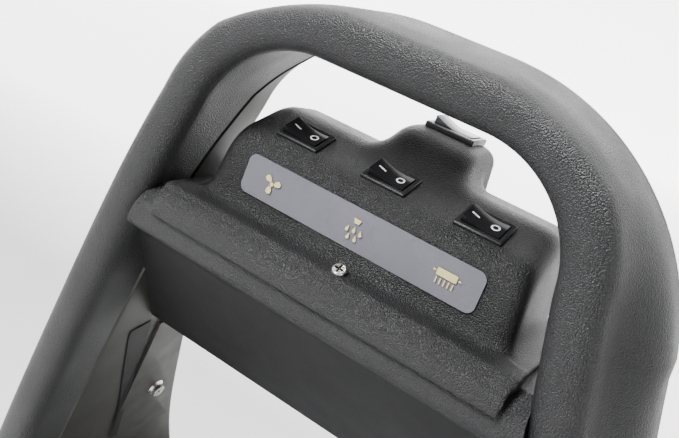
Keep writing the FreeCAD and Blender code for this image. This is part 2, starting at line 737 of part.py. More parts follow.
def deck():
    narrow, wall = "Dims.housing_narrow", "Dims.wall"
    back, front, top = "Dims.housing_front_y + 0.3", "Dims.deck_front_y", "Dims.deck_top_z"
    outside = prism("deck_out", "YZ_Plane", [(back, 25), (back, top), (205, top), (252, 92), (front, 45),
                                             (front, 25)],
                    f"-{narrow}", f"2 * {narrow}")
    outside = round_edges(outside, 6, lambda e: along(Vector(1, 0, 0))(e) and e.CenterOfMass.z > 40
                          and e.CenterOfMass.y > 150)
    inside = prism("deck_in", "YZ_Plane",
                   [(f"{back} + {wall}", 15), (f"{back} + {wall}", f"{top} - {wall}"),
                    (204, f"{top} - {wall}"),
                    (249, 90), (f"{front} - {wall}", 44), (f"{front} - {wall}", 15)],
                   f"{wall} - {narrow}", f"2 * {narrow} - 2 * {wall}")
    tools = [rod("deck_hose_hole", "Y", 5, ("85", "Dims.housing_front_y - 4", "117.3"), 12)]
    for side, word in ((-1, "left"), (1, "right")):
        tools.append(rod(f"deck_bearing_{word}", "X", 13, (span(side, "150", "160")[0], "Dims.brush_y",
                                                           "Dims.brush_radius"), 10))
    return cut("deck", outside, inside, *tools)


node("brush_deck", deck())
front = "Dims.deck_front_y"
node("front_bumper", prism("bumper", "YZ_Plane", [(front, 28), (f"{front} + 3", 31), (f"{front} + 3", 41),
                                                  (front, 44)],
                           "-150", "300"))


def side_cover(side, word):
    """The moulded cover outside the narrow part of the housing: over the belt at the left."""
    outline = [(23, 62), (23, 197), (112, 197), (250, 112), (259, 45), (246, 14), (160, 14), (120, 62)]
    inner = [(26, 65), (26, 194), (111, 194), (247.3, 110), (255.8, 45.5), (244, 17), (161.5, 17),
             (121.5, 65)]
    low, high = span(side, "Dims.housing_narrow + 1.3", "Dims.leg_outer")
    shell = prism(f"cover_{word}_out", "YZ_Plane", outline, low, f"({high}) - ({low})")
    shell = round_edges(shell, 6, along(Vector(1, 0, 0)))
    low_in, high_in = span(side, "Dims.housing_narrow + 1", "Dims.leg_outer - 3")
    hollow = prism(f"cover_{word}_in", "YZ_Plane", inner, low_in, f"({high_in}) - ({low_in})")
    hollow = round_edges(hollow, 3, along(Vector(1, 0, 0)))
    return cut(f"cover_{word}", shell, hollow)


cover_left, cover_right = mirrored(side_cover)
node("belt_cover", cover_left)
node("side_cover", cover_right)


def pulley(name, radius, y, z, bore):
    """A flanged belt wheel centred on the belt's plane; bore is None for a solid one."""
    rim = f"{radius} + 3"
    hole = bore if bore else 0
    return turned(name, [(hole, -5), (rim, -5), (rim, -3.5), (radius, -3.5), (radius, 3.5), (rim, 3.5),
                         (rim, 5),
                         (hole, 5)], ("Dims.belt_x", y, z), "X")


motor_wheel = pulley("motor_wheel", "Dims.motor_pulley_radius", "Dims.motor_y", "Dims.motor_z", None)
motor_shaft = rod("motor_shaft", "X", 5, ("Dims.belt_x", "Dims.motor_y", "Dims.motor_z"), 85)
node("motor_pulley", joined("motor_pulley_whole", [motor_wheel, motor_shaft]))
node("brush_pulley", pulley("brush_wheel", "Dims.brush_pulley_radius", "Dims.brush_y", "Dims.brush_radius",
                            "Dims.axle_radius"))


def belt_loop(name, grow, start, length):
    """The space inside an open belt that stands off both pulleys by grow."""
    centres = [Vector(0, size("Dims.motor_y"), size("Dims.motor_z")),
               Vector(0, size("Dims.brush_y"), size("Dims.brush_radius"))]
    radii = [size("Dims.motor_pulley_radius") + grow, size("Dims.brush_pulley_radius") + grow]
    line = centres[1] - centres[0]
    lean = math.asin((radii[1] - radii[0]) / line.Length)
    unit = Vector(line).normalize()
    across = Vector(0, -unit.z, unit.y)
    corners = []
    for sign in (1, -1):
        normal = across * sign * math.cos(lean) - unit * math.sin(lean)
        ends = [c + normal * r for c, r in zip(centres, radii)]
        corners += ends if sign > 0 else ends[::-1]
    points = [(c.y, c.z) for c in corners]
    parts = [prism(name + "_web", "YZ_Plane", points, start, length)]
    for i, (centre, radius) in enumerate(zip(centres, radii)):
        parts.append(rod(f"{name}_turn{i}", "X", radius, (start, centre.y, centre.z), length))
    return joined(name, parts)


node("drive_belt", cut("belt", belt_loop("belt_out", 3.3, "Dims.belt_x - 3", 6),
                       belt_loop("belt_in", 0.3, "Dims.belt_x - 4", 8)))


def motor():
    y, z = "Dims.motor_y", "Dims.motor_z"
    can = turned("motor_can", [(0, -80), (30, -80), (36, -72), (36, 72), (30, 80), (0, 80)], ("-30", y, z),
                 "X")
    foot = block("motor_foot", ("-80", "20"), (f"{y} - 26", f"{y} + 26"),
                 ("Dims.chassis_z + 3", "Dims.chassis_z + 16"))
    bore = rod("motor_bore", "X", 5.05, ("-120", y, z), 37)
    return cut("motor", joined("motor_whole", [can, foot]), bore)


node("brush_motor", motor())


# ---------------------------------------------------------------- suction

def vacuum():
    x, y, floor = "50", "-80", "Dims.chassis_z + 3"
    can = rod("vacuum_can", "Z", 48, (x, y, floor), 80)
    chamber = rod("vacuum_chamber", "Z", 42, (x, y, f"{floor} + 5"), 24)
    bore = rod("vacuum_bore", "Z", 4.05, (x, y, f"{floor} + 28"), 26)
    inlet = rod("vacuum_inlet", "Y", 13, (x, "-132", "170"), 20)
    node("vacuum_motor", cut("vacuum", can, chamber, bore, inlet))
    disc = rod("fan_disc", "Z", 40, (x, y, f"{floor} + 7"), 19)
    shaft = rod("fan_shaft", "Z", 4, (x, y, f"{floor} + 20"), 32)
    node("vacuum_impeller", joined("fan", [disc, shaft]))


vacuum()


def shoe():
    body = prism("shoe_out", "YZ_Plane", [(-258, 12), (-258, 30), (-242, 48), (-222, 48), (-206, 30),
                                          (-206, 12)],
                 "-186", "372")
    parts = [body, rod("shoe_neck", "Z", 19, ("-50", "-232", "44"), 18)]
    for side, word in ((-1, "left"), (1, "right")):
        low, high = span(side, "108", "124")
        parts.append(prism(f"shoe_arm_{word}", "YZ_Plane",
                           [(-228, 44), (-208, 30), (-189, 62), (-189, 84), (-197, 84)], low,
                           f"({high}) - ({low})"))
    slot = block("shoe_slot", ("-182", "182"), ("-247", "-217"), ("0", "42"))
    bore = rod("shoe_bore", "Z", 14, ("-50", "-232", "40"), 40)
    return cut("shoe", joined("shoe_whole", parts), slot, bore)


node("suction_shoe", shoe())
node("squeegee_lips", group("lips", [
    block("lip_back", ("-186", "186"), ("-262", "-258"), ("0", "30")),
    block("lip_front", ("-186", "186"), ("-206", "-202"), ("0", "28"))]))
tube("suction_hose", [(-50, -232, 63.2), (-50, -217, 300), (-50, -216, 515), (-50, -186.4, 515)], 16, 13,
     [300, 27])
tube("vacuum_duct", [(50, -186.4, 530), (50, -216, 530), (50, -216, 170), (50, -128, 170)], 16, 13,
     [27, 30])


# ---------------------------------------------------------------- water

pump_box = block("pump_box", ("-110", "-50"), ("-120", "-75"), ("Dims.chassis_z + 3", "158"))
pump_inlet = rod("pump_inlet", "Z", 6, ("-80", "-97", "155"), 45)
pump_outlet = rod("pump_outlet", "Y", 6, ("-80", "-80", "120"), 15)
node("water_pump", joined("pump", [pump_box, pump_inlet, pump_outlet]))
tube("solution_hose", [(-80, -65, 117.3), (-80, 5, 117.3), (85, 5, 117.3), (85, 131, 117.3)], 3.8, 2.4,
     [25, 25])
bar_parts = [rod("bar_pipe", "X", 6, ("-140", "138", "114"), 280),
             rod("bar_inlet", "Y", 3.8, ("85", "131", "117.3"), 6)]
for x in (-120, 120):
    bar_parts.append(block(f"bar_clip{x}".replace("-", "m"), (x - 4, x + 4), ("129.8", "138"),
                           ("109", "119")))
node("spray_bar", joined("bar", bar_parts))


def nozzle(x):
    """A flat jet nozzle under the bar, aimed at the brush."""
    jet = doc.addObject("Part::Cone", f"jet{x}".replace("-", "m"))
    jet.Radius1, jet.Radius2, jet.Height = 4.5, 2.5, 9
    aim = Vector(0, 0.6, -0.8)
    jet.Placement = Placement(Vector(x, 138, 114) + aim * 6, Rotation(Vector(0, 0, 1), aim))
    return jet


node("spray_nozzles", group("jets", [nozzle(x) for x in (-105, -35, 35, 105)]))


# ---------------------------------------------------------------- tanks

FILL_AT = Vector(0, 111, 300.5)
FILL_AIM = Vector(0, 151, 78).normalize()


def along_fill(name, radius, start, length):
    """A cylinder on the filler's axis, start millimetres out from the sloping wall."""
    obj = doc.addObject("Part::Cylinder", name)
    obj.Radius, obj.Height = radius, length
    obj.Placement = Placement(FILL_AT + FILL_AIM * start, Rotation(Vector(0, 0, 1), FILL_AIM))
    return obj


def tank(name, inset, points):
    half = f"Dims.tank_half - {inset}"
    return prism(name, "YZ_Plane", points, f"-({half})", f"2 * ({half})")


def solution_tank():
    back, top, wall = "Dims.tank_back_y", "Dims.solution_top_z", "Dims.wall"
    outside = tank("solution_out", 0, [(back, 200), (150, 200), (150, 225), (72, top), (back, top)])
    outside = round_edges(outside, 10, lambda e: e.CenterOfMass.y > 60 and abs(e.CenterOfMass.x) > 100)
    inside = tank("solution_in", size("Dims.wall"), [
        (f"{back} + {wall}", 203.5), (f"150 - {wall}", 203.5), (f"150 - {wall}", 224),
        (70, f"{top} - {wall}"),
        (f"{back} + {wall}", f"{top} - {wall}")])
    filled = joined("solution_necked", [outside, along_fill("neck", 27, -3, 16)])
    bore = along_fill("neck_bore", 23, -12, 40)
    node("solution_tank", cut("solution", filled, inside, bore))
    cap = along_fill("cap_out", 32, 1, 17)
    node("solution_cap", cut("cap", cap, along_fill("cap_in", 27.35, 0, 14)))


solution_tank()

LID_Y = (-180, -24)
HINGE = (-17.4, 556)
PORTS = ((-50, 515), (50, 530))


def recovery_tank():
    back, top, wall, low = "Dims.tank_back_y", "Dims.recovery_top_z", "Dims.wall", "Dims.solution_top_z + 0.3"
    outside = tank("recovery_out", 0, [(back, low), (69, low), (-23.4, top), (back, top)])
    outside = round_edges(outside, 10, lambda e: e.CenterOfMass.y > -10 and abs(e.CenterOfMass.x) > 100
                          and not along(Vector(0, 1, 0))(e))
    inside = tank("recovery_in", size("Dims.wall"), [
        (f"{back} + {wall}", f"{low} + {wall}"), (f"67 - {wall}", f"{low} + {wall}"),
        (f"-21.5 - {wall}", f"{top} - {wall}"), (f"{back} + {wall}", f"{top} - {wall}")])
    mouth = block("recovery_mouth", ("8 - Dims.lid_half", "Dims.lid_half - 8"),
                  (LID_Y[0] + 8, LID_Y[1] - 8),
                  (f"{top} - 10", f"{top} + 10"))
    parts = [outside]
    tools = [inside, mouth]
    for x, z in PORTS:
        parts.append(rod(f"port{z}", "Y", 20, (x, f"{back} - 6", z), 8))
        tools.append(rod(f"port_bore{z}", "Y", 14, (x, f"{back} - 10", z), 20))
    for side, word in ((-1, "left"), (1, "right")):
        low_x, high_x = span(side, "84", "96")
        parts.append(block(f"lid_lug_{word}", (low_x, high_x), ("-23.2", "-11.4"), ("530", "560")))
        tools.append(rod(f"lid_bore_{word}", "X", 3.05, (f"({low_x}) - 2", HINGE[0], HINGE[1]), 16))
        low_x, high_x = span(side, "66", "74")
        parts.append(prism(f"bail_lug_{word}", "YZ_Plane", [(-2, 507), (8, 487), (20, 493), (20, 507)],
                           low_x, f"({high_x}) - ({low_x})"))
        tools.append(rod(f"bail_bore_{word}", "X", 3.05, (f"({low_x}) - 2", 14, 500), 12))
    return cut("recovery", joined("recovery_whole", parts), *tools)


node("recovery_tank", recovery_tank())

gasket = block("gasket_out", ("-Dims.lid_half", "Dims.lid_half"), (LID_Y[0], LID_Y[1]),
               ("Dims.recovery_top_z", "Dims.recovery_top_z + 2.5"))
gasket_in = block("gasket_in", ("4 - Dims.lid_half", "Dims.lid_half - 4"), (LID_Y[0] + 4, LID_Y[1] - 4),
                  ("Dims.recovery_top_z - 1", "Dims.recovery_top_z + 4"))
node("lid_gasket", cut("gasket", gasket, gasket_in))


def lid():
    half, low = "Dims.lid_half", "Dims.recovery_top_z + 2.8"
    outside = prism("lid_out", "YZ_Plane", [(LID_Y[0], low), (LID_Y[1], low), (LID_Y[1] - 8, f"{low} + 26"),
                                            (LID_Y[0] + 8, f"{low} + 26")], f"-{half}", f"2 * {half}")
    outside = round_edges(outside, 10, lambda e: e.CenterOfMass.z > 577)
    inside = prism("lid_in", "YZ_Plane", [(LID_Y[0] + 3, f"{low} - 1"), (LID_Y[1] - 3, f"{low} - 1"),
                                          (LID_Y[1] - 11, f"{low} + 23"), (LID_Y[0] + 11, f"{low} + 23")],
                   f"3 - {half}", f"2 * {half} - 6")
    inside = round_edges(inside, 7, lambda e: e.CenterOfMass.z > 574)
    tools = [inside]
    for side, word in ((-1, "left"), (1, "right")):
        low_x, high_x = span(side, "82", "98")
        tools.append(block(f"lid_notch_{word}", (low_x, high_x), (HINGE[0] - 18, HINGE[0] - 2),
                           (HINGE[1] - 6, HINGE[1] + 12)))
    shell = cut("lid_shell", outside, *tools)
    extra = [shell, rod("lid_pin", "X", 3, ("-98", HINGE[0], HINGE[1]), 196)]
    for side, word in ((-1, "left"), (1, "right")):
        low_x, high_x = span(side, "55", "78")
        extra.append(block(f"lid_tab_{word}", (low_x, high_x), (HINGE[0] - 9, HINGE[0] + 2),
                           (HINGE[1] - 2.5, HINGE[1] + 2.5)))
    return joined("lid", extra)


node("tank_lid", lid())


def float_valve():
    at = ("50", "-156")
    cage = rod("cage_out", "Z", 19, (*at, 470), 40)
    tools = [rod("cage_in", "Z", 16, (*at, 473), 60)]
    for i in range(4):
        window = doc.addObject("Part::Box", f"cage_window{i}")
        window.Length, window.Width, window.Height = 8, 60, 22
        turn = Rotation(Vector(0, 0, 1), 45 * i + 22.5)
        window.Placement = Placement(Vector(50, -156, 478),
                                     turn).multiply(Placement(Vector(-4, -30, 0), Rotation()))
        tools.append(window)
    bracket = block("cage_bracket", ("42", "58"), ("-176.5", "-172"), ("503", "510"))
    node("float_cage", joined("cage", [cut("cage_cut", cage, *tools), bracket]))
    ball = doc.addObject("Part::Sphere", "ball")
    ball.Radius = 13
    ball.Placement = Placement(Vector(50, -156, 486.5), Rotation())
    node("float_ball", ball)


float_valve()
tube("tank_handle", [(-62, 14, 500), (-84, 14, 500), (-84, 46, 440), (84, 46, 440), (84, 14, 500),
                     (62, 14, 500)],
     3, 0, [8, 12, 12, 8])


# ---------------------------------------------------------------- wiring

tube("wiring_harness", [(20, -195, 782), (-125, -195, 782), (-167, -185, 590), (-167, -60, 300),
                        (-167, -40, 225)],
     4, 0, [14, 60, 80])
node("lower_connector", block("connector", ("-176", "-158"), ("-52", "-28"), ("203", "223.5")))
gland = [rod("gland_body", "Y", 9, ("120", "-207", "150"), 18),
         rod("gland_nut", "Y", 12, ("120", "-196", "150"), 7)]
node("cable_gland", cut("gland", joined("gland_whole", gland),
                        rod("gland_bore", "Y", 4, ("120", "-210", "150"), 18)))


# ---------------------------------------------------------------- hand-in

doc.recompute()
os.makedirs("parts", exist_ok=True)
for obj in doc.Objects:
    if "Invalid" in obj.State or "Error" in obj.State:
        raise SystemExit(f"{obj.Name} failed: {obj.State}")
for obj in nodes:
    if obj.Shape.isNull() or not obj.Shape.isValid():
        raise SystemExit(f"{obj.Label} has no valid shape")
    obj.Shape.exportStep(f"parts/{obj.Label}.step")
print(len(nodes), "sub-parts")
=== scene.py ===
"""Looks of the walk-behind floor scrubber. Lengths are in millimetres until they reach a mesh."""
import json
import math

import bpy
import numpy as np
from mathutils import Matrix, Vector

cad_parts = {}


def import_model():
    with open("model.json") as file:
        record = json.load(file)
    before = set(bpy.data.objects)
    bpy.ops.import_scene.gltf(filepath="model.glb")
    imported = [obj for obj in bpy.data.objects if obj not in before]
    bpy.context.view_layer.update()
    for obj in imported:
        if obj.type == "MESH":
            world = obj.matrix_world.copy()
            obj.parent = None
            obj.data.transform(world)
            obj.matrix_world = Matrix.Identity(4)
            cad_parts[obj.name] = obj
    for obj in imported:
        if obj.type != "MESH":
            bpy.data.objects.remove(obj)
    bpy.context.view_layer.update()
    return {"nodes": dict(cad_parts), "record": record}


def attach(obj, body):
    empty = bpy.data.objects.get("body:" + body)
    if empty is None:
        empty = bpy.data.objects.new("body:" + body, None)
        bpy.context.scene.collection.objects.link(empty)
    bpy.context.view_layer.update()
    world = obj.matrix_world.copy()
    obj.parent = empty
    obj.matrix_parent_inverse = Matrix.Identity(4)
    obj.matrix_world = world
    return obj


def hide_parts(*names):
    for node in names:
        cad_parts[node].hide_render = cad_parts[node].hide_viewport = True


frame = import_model()
nodes = frame["nodes"]
record = frame["record"]
MM = 0.001

# ---------------------------------------------------------------- camera, floor and lights

CAMERA_AT = Vector((126.3, -514.8, 945.7)) * MM
CAMERA_TURN = math.radians(24.65)
CAMERA_DIP = math.radians(17.68)
CAMERA_ROLL = math.radians(20.33)
CAMERA_LENS = 44.96


def camera():
    ahead = Vector((-math.sin(CAMERA_TURN) * math.cos(CAMERA_DIP),
                    math.cos(CAMERA_TURN) * math.cos(CAMERA_DIP), -math.sin(CAMERA_DIP)))
    level = ahead.cross(Vector((0, 0, 1))).normalized()
    rise = level.cross(ahead)
    right = level * math.cos(CAMERA_ROLL) + rise * math.sin(CAMERA_ROLL)
    up = right.cross(ahead)
    data = bpy.data.cameras.new("camera")
    data.lens = CAMERA_LENS
    data.sensor_width = 36
    data.clip_start = 0.01
    data.clip_end = 200
    obj = bpy.data.objects.new("camera", data)
    turn = Matrix((right, up, -ahead)).transposed().to_4x4()
    obj.matrix_world = Matrix.Translation(CAMERA_AT) @ turn
    bpy.context.collection.objects.link(obj)
    bpy.context.scene.camera = obj


camera()


def area_light(name, at, aim, size, power):
    """A rectangular lamp at a place, aimed at another; lengths in metres, power in watts."""
    data = bpy.data.lights.new(name, "AREA")
    data.shape = "RECTANGLE"
    data.size, data.size_y = size
    data.energy = power
    obj = bpy.data.objects.new(name, data)
    obj.location = at
    obj.rotation_euler = (Vector(aim) - Vector(at)).to_track_quat("-Z", "Y").to_euler()
    bpy.context.collection.objects.link(obj)


area_light("key", (-0.8, -1.5, 2.4), (0, -0.2, 0.8), (0.7, 0.7), 96)
area_light("side", (2.0, -1.3, 1.3), (0, -0.1, 0.7), (0.5, 1.2), 1.5)
area_light("top", (-0.4, 0.1, 2.7), (0, -0.1, 0.8), (0.9, 0.7), 80)
area_light("low", (-1.7, -0.6, 0.8), (0, 0, 0.4), (0.8, 1.0), 6)


def mapped(tree, value, start, stop, low, high):
    """A node that turns start to stop into low to high."""
    node = tree.nodes.new("ShaderNodeMapRange")
    tree.links.new(value, node.inputs["Value"])
    for name, number in (("From Min", start), ("From Max", stop), ("To Min", low), ("To Max", high)):
        node.inputs[name].default_value = number
    return node.outputs["Result"]


def world():
    """A studio room: pale at eye level, darker overhead."""
    sky = bpy.data.worlds.new("studio")
    sky.use_nodes = True
    tree = sky.node_tree
    back = tree.nodes["Background"]
    back.inputs["Color"].default_value = (1, 1, 1, 1)
    split = tree.nodes.new("ShaderNodeSeparateXYZ")
    tree.links.new(tree.nodes.new("ShaderNodeTexCoord").outputs["Generated"], split.inputs["Vector"])
    tree.links.new(mapped(tree, split.outputs["Z"], 0.02, 0.2, 0.95, 0.08), back.inputs["Strength"])
    bpy.context.scene.world = sky


world()

# ---------------------------------------------------------------- materials


class Shader:
    """A principled material under construction, with the few node patterns used below."""

    def __init__(self, name):
        self.material = bpy.data.materials.new(name)
        self.material.use_nodes = True
        self.tree = self.material.node_tree
        self.surface = self.tree.nodes["Principled BSDF"]
        self.position = self.tree.nodes.new("ShaderNodeTexCoord").outputs["Object"]
        self.last_bump = None

    def set(self, **values):
        """Sets sockets of the surface that are the same all over."""
        for name, value in values.items():
            self.surface.inputs[name.replace("_", " ")].default_value = value
        return self

    def noise(self, size_mm, detail):
        """Noise with features of about that size."""
        node = self.tree.nodes.new("ShaderNodeTexNoise")
        node.inputs["Scale"].default_value = 1000 / size_mm
        node.inputs["Detail"].default_value = detail
        self.tree.links.new(self.position, node.inputs["Vector"])
        return node.outputs["Fac"]

    def cells(self, size_mm, smooth):
        """Distance to the middle of scattered cells of about that size."""
        node = self.tree.nodes.new("ShaderNodeTexVoronoi")
        node.feature = "SMOOTH_F1"
        node.inputs["Scale"].default_value = 1000 / size_mm
        node.inputs["Smoothness"].default_value = smooth
        self.tree.links.new(self.position, node.inputs["Vector"])
        return node.outputs["Distance"]

    def ramp(self, value, *stops):
        """Turns a value into a colour or a grey level by (place, colour) stops."""
        node = self.tree.nodes.new("ShaderNodeValToRGB")
        elements = node.color_ramp.elements
        while len(elements) < len(stops):
            elements.new(0.5)
        for element, (place, colour) in zip(elements, stops):
            element.position = place
            element.color = (*colour, 1) if isinstance(colour, tuple) else (colour, colour, colour, 1)
        self.tree.links.new(value, node.inputs["Fac"])
        return node.outputs["Color"]

    def along(self, axis, *ends):
        """A value that goes from low to high between two places on an axis, in metres."""
        split = self.tree.nodes.new("ShaderNodeSeparateXYZ")
        self.tree.links.new(self.position, split.inputs["Vector"])
        return mapped(self.tree, split.outputs[axis], *ends)

    def away(self, *ends):
        """A value that goes from low to high between two distances from the machine, in metres."""
        length = self.tree.nodes.new("ShaderNodeVectorMath")
        length.operation = "LENGTH"
        self.tree.links.new(self.position, length.inputs[0])
        return mapped(self.tree, length.outputs["Value"], *ends)

    def combine(self, operation, a, b):
        """A sum or product of two values."""
        node = self.tree.nodes.new("ShaderNodeMath")
        node.operation = operation
        self.tree.links.new(a, node.inputs[0])
        self.tree.links.new(b, node.inputs[1])
        return node.outputs["Value"]

    def colour(self, output):
        self.tree.links.new(output, self.surface.inputs["Base Color"])

    def roughness(self, output):
        self.tree.links.new(output, self.surface.inputs["Roughness"])

    def bump(self, height, depth_mm):
        """Adds relief of that depth on top of any earlier relief."""
        node = self.tree.nodes.new("ShaderNodeBump")
        node.inputs["Distance"].default_value = depth_mm * MM
        node.inputs["Strength"].default_value = 1.0
        self.tree.links.new(height, node.inputs["Height"])
        if self.last_bump:
            self.tree.links.new(self.last_bump, node.inputs["Normal"])
        self.tree.links.new(node.outputs["Normal"], self.surface.inputs["Normal"])
        self.last_bump = node.outputs["Normal"]


def tinted(colour, factor):
    """A lighter or darker version of a colour."""
    return tuple(min(1.0, c * factor) for c in colour)


def pebbled(name, colour, grain, depth, gloss):
    """Moulded plastic with a pebble grain: domed cells of that size and depth in millimetres."""
    shader = Shader(name).set(Specular_IOR_Level=0.5)
    pebbles = shader.cells(grain, 0.25)
    shader.colour(shader.ramp(shader.noise(40, 3), (0.3, tinted(colour, 0.85)), (0.7, tinted(colour, 1.15))))
    shader.roughness(shader.ramp(shader.noise(25, 4), (0.3, gloss - 0.05), (0.7, gloss + 0.07)))
    shader.bump(shader.noise(grain * 0.45, 2), depth * 0.4)
    shader.bump(pebbles, -depth)
    return shader.material


def moulded(name, colour, gloss, grain=0.35, depth=0.02, shine=0.5):
    """Smooth moulded plastic with a very fine grain."""
    shader = Shader(name).set(Specular_IOR_Level=shine)
    shader.colour(shader.ramp(shader.noise(30, 3), (0.3, tinted(colour, 0.9)), (0.7, tinted(colour, 1.1))))
    shader.roughness(shader.ramp(shader.noise(18, 4), (0.3, gloss - 0.04), (0.7, gloss + 0.06)))
    shader.bump(shader.noise(grain, 2), depth)
    return shader.material


def metal(name, colour, gloss):
    """Metal with slight clouding of colour and gloss."""
    shader = Shader(name).set(Metallic=1.0)
    shader.colour(shader.ramp(shader.noise(12, 4), (0.3, tinted(colour, 0.92)), (0.7, tinted(colour, 1.05))))
    shader.roughness(shader.ramp(shader.noise(3, 5), (0.3, gloss * 0.8), (0.7, gloss * 1.25)))
    shader.bump(shader.noise(0.4, 3), 0.006)
    return shader.material


def painted(name, colour, gloss):
    """Sprayed paint with a faint orange peel."""
    shader = Shader(name).set(Coat_Weight=0.15)
    shader.colour(shader.ramp(shader.noise(20, 4), (0.3, tinted(colour, 0.9)), (0.7, tinted(colour, 1.1))))
    shader.roughness(shader.ramp(shader.noise(14, 4), (0.3, gloss - 0.05), (0.7, gloss + 0.08)))
    shader.bump(shader.noise(1.1, 2), 0.025)
    return shader.material


def rubber(name, colour, gloss):
    """Dull rubber with a mottled surface."""
    shader = Shader(name).set(Specular_IOR_Level=0.35)
    shader.colour(shader.ramp(shader.noise(16, 4), (0.3, tinted(colour, 0.85)), (0.7, tinted(colour, 1.25))))
    shader.roughness(shader.ramp(shader.noise(6, 4), (0.3, gloss - 0.06), (0.7, gloss + 0.1)))
    shader.bump(shader.noise(0.5, 3), 0.04)
    return shader.material


CHARCOAL = (0.0135, 0.0137, 0.0148)
OLIVE = (0.022, 0.021, 0.0165)
looks = {
    "charcoal_shell": pebbled("charcoal_pebble", CHARCOAL, 0.62, 0.45, 0.42),
    "olive_shell": pebbled("olive_grain", OLIVE, 0.8, 0.07, 0.45),
    "console_black": pebbled("console_pebble", (0.0115, 0.0117, 0.0121), 0.56, 0.4, 0.41),
    "switch_black": moulded("switch_nylon", (0.012, 0.012, 0.013), 0.25, 0.3, 0.01),
    "rocker_black": moulded("rocker_gloss", (0.010, 0.010, 0.011), 0.16, 0.6, 0.004),
    "rocker_grey": moulded("rocker_smoke", (0.12, 0.125, 0.14), 0.18, 0.6, 0.004),
    "label_grey": moulded("label_film", (0.16, 0.155, 0.185), 0.28, 1.2, 0.004),
    "nickel": metal("nickel", (0.78, 0.75, 0.70), 0.22),
    "steel_frame": painted("frame_paint", (0.020, 0.019, 0.015), 0.5),
    "bare_steel": metal("bare_steel", (0.56, 0.57, 0.58), 0.32),
    "brass_contact": metal("brass_contact", (0.72, 0.55, 0.28), 0.3),
    "hose_grey": rubber("hose_rubber", (0.06, 0.06, 0.065), 0.5),
    "black_rubber": rubber("black_rubber", (0.015, 0.015, 0.015), 0.6),
    "tyre_grey": rubber("tyre_rubber", (0.13, 0.13, 0.135), 0.65),
    "wheel_plastic": moulded("wheel_nylon", (0.03, 0.03, 0.033), 0.4, 0.8, 0.03),
    "solution_plastic": pebbled("solution_tank_plastic", (0.12, 0.12, 0.115), 1.6, 0.05, 0.48),
    "recovery_plastic": pebbled("recovery_tank_plastic", (0.045, 0.046, 0.045), 1.6, 0.05, 0.48),
    "bristle_blue": moulded("bristle_nylon", (0.02, 0.09, 0.28), 0.4, 0.4, 0.02),
    "red_lip": rubber("gum_rubber", (0.30, 0.045, 0.02), 0.5),
    "motor_paint": painted("motor_paint", (0.06, 0.065, 0.07), 0.4),
    "white_nylon": moulded("white_nylon", (0.62, 0.61, 0.57), 0.35),
    "yellow_accent": moulded("yellow_moulding", (0.62, 0.36, 0.02), 0.35, 0.8, 0.02),
}


def clear_plastic():
    """Smoky transparent plastic."""
    shader = Shader("smoky_clear").set(Alpha=0.42, Specular_IOR_Level=0.6, Coat_Weight=0.3)
    shader.colour(shader.ramp(shader.noise(60, 2), (0.3, (0.16, 0.17, 0.175)), (0.7, (0.2, 0.21, 0.215))))
    shader.roughness(shader.ramp(shader.noise(9, 4), (0.3, 0.06), (0.7, 0.14)))
    return shader.material


looks["clear_lid"] = clear_plastic()
smooth_dark = moulded("crossbar_smooth", (0.007, 0.007, 0.0075), 0.52, 0.9, 0.05, shine=0.3)
white_print = moulded("white_print", (0.85, 0.85, 0.83), 0.4, 0.5, 0.001)
yellow_print = moulded("yellow_print", (0.70, 0.62, 0.28), 0.45, 0.5, 0.001)
slots = {part["node"]: part["material_slot"] for part in record["subparts"]}
for label, obj in nodes.items():
    obj.data.materials.clear()
    obj.data.materials.append(looks[slots[label]])

# ---------------------------------------------------------------- mesh helpers


def mesh_object(name, points, faces, materials, body, smooth=True, sharp=math.radians(38)):
    """A mesh from points in millimetres, riding on a body."""
    mesh = bpy.data.meshes.new(name)
    mesh.from_pydata((np.asarray(points) * MM).tolist(), [], faces)
    mesh.update()
    for material in materials:
        mesh.materials.append(material)
    obj = bpy.data.objects.new(name, mesh)
    bpy.context.collection.objects.link(obj)
    if smooth:
        mesh.polygons.foreach_set("use_smooth", [True] * len(mesh.polygons))
        mesh.set_sharp_from_angle(angle=sharp)
    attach(obj, body)
    return obj


def softened(points, cuts, steps=6):
    """An open polyline with its inner corners rounded; cuts are how far each corner is cut back."""
    points = [np.array(p, float) for p in points]
    out = [points[0]]
    for before, corner, after, cut in zip(points, points[1:], points[2:], cuts):
        back, on = before - corner, after - corner
        start = corner + back * min(0.48, cut / np.linalg.norm(back))
        end = corner + on * min(0.48, cut / np.linalg.norm(on))
        for t in np.linspace(0, 1, steps + 1):
            out.append(start * (1 - t) ** 2 + corner * 2 * t * (1 - t) + end * t ** 2)
    out.append(points[-1])
    return np.array(out)


def loft(rings):
    """Points and quads of a skin through rings of equal count, with both ends capped."""
    rings = np.asarray(rings)
    count, around = rings.shape[:2]
    faces = []
    for i in range(count - 1):
        for j in range(around):
            k = (j + 1) % around
            faces.append((i * around + j, i * around + k, (i + 1) * around + k, (i + 1) * around + j))
    faces.append(tuple(range(around))[::-1])
    faces.append(tuple(range((count - 1) * around, count * around)))
    return rings.reshape(-1, 3), faces


def renumbered(faces, first):
    """Faces of a part that is appended after that many points."""
    return [tuple(i + first for i in face) for face in faces]


# ---------------------------------------------------------------- handle: arch, legs and crossbar

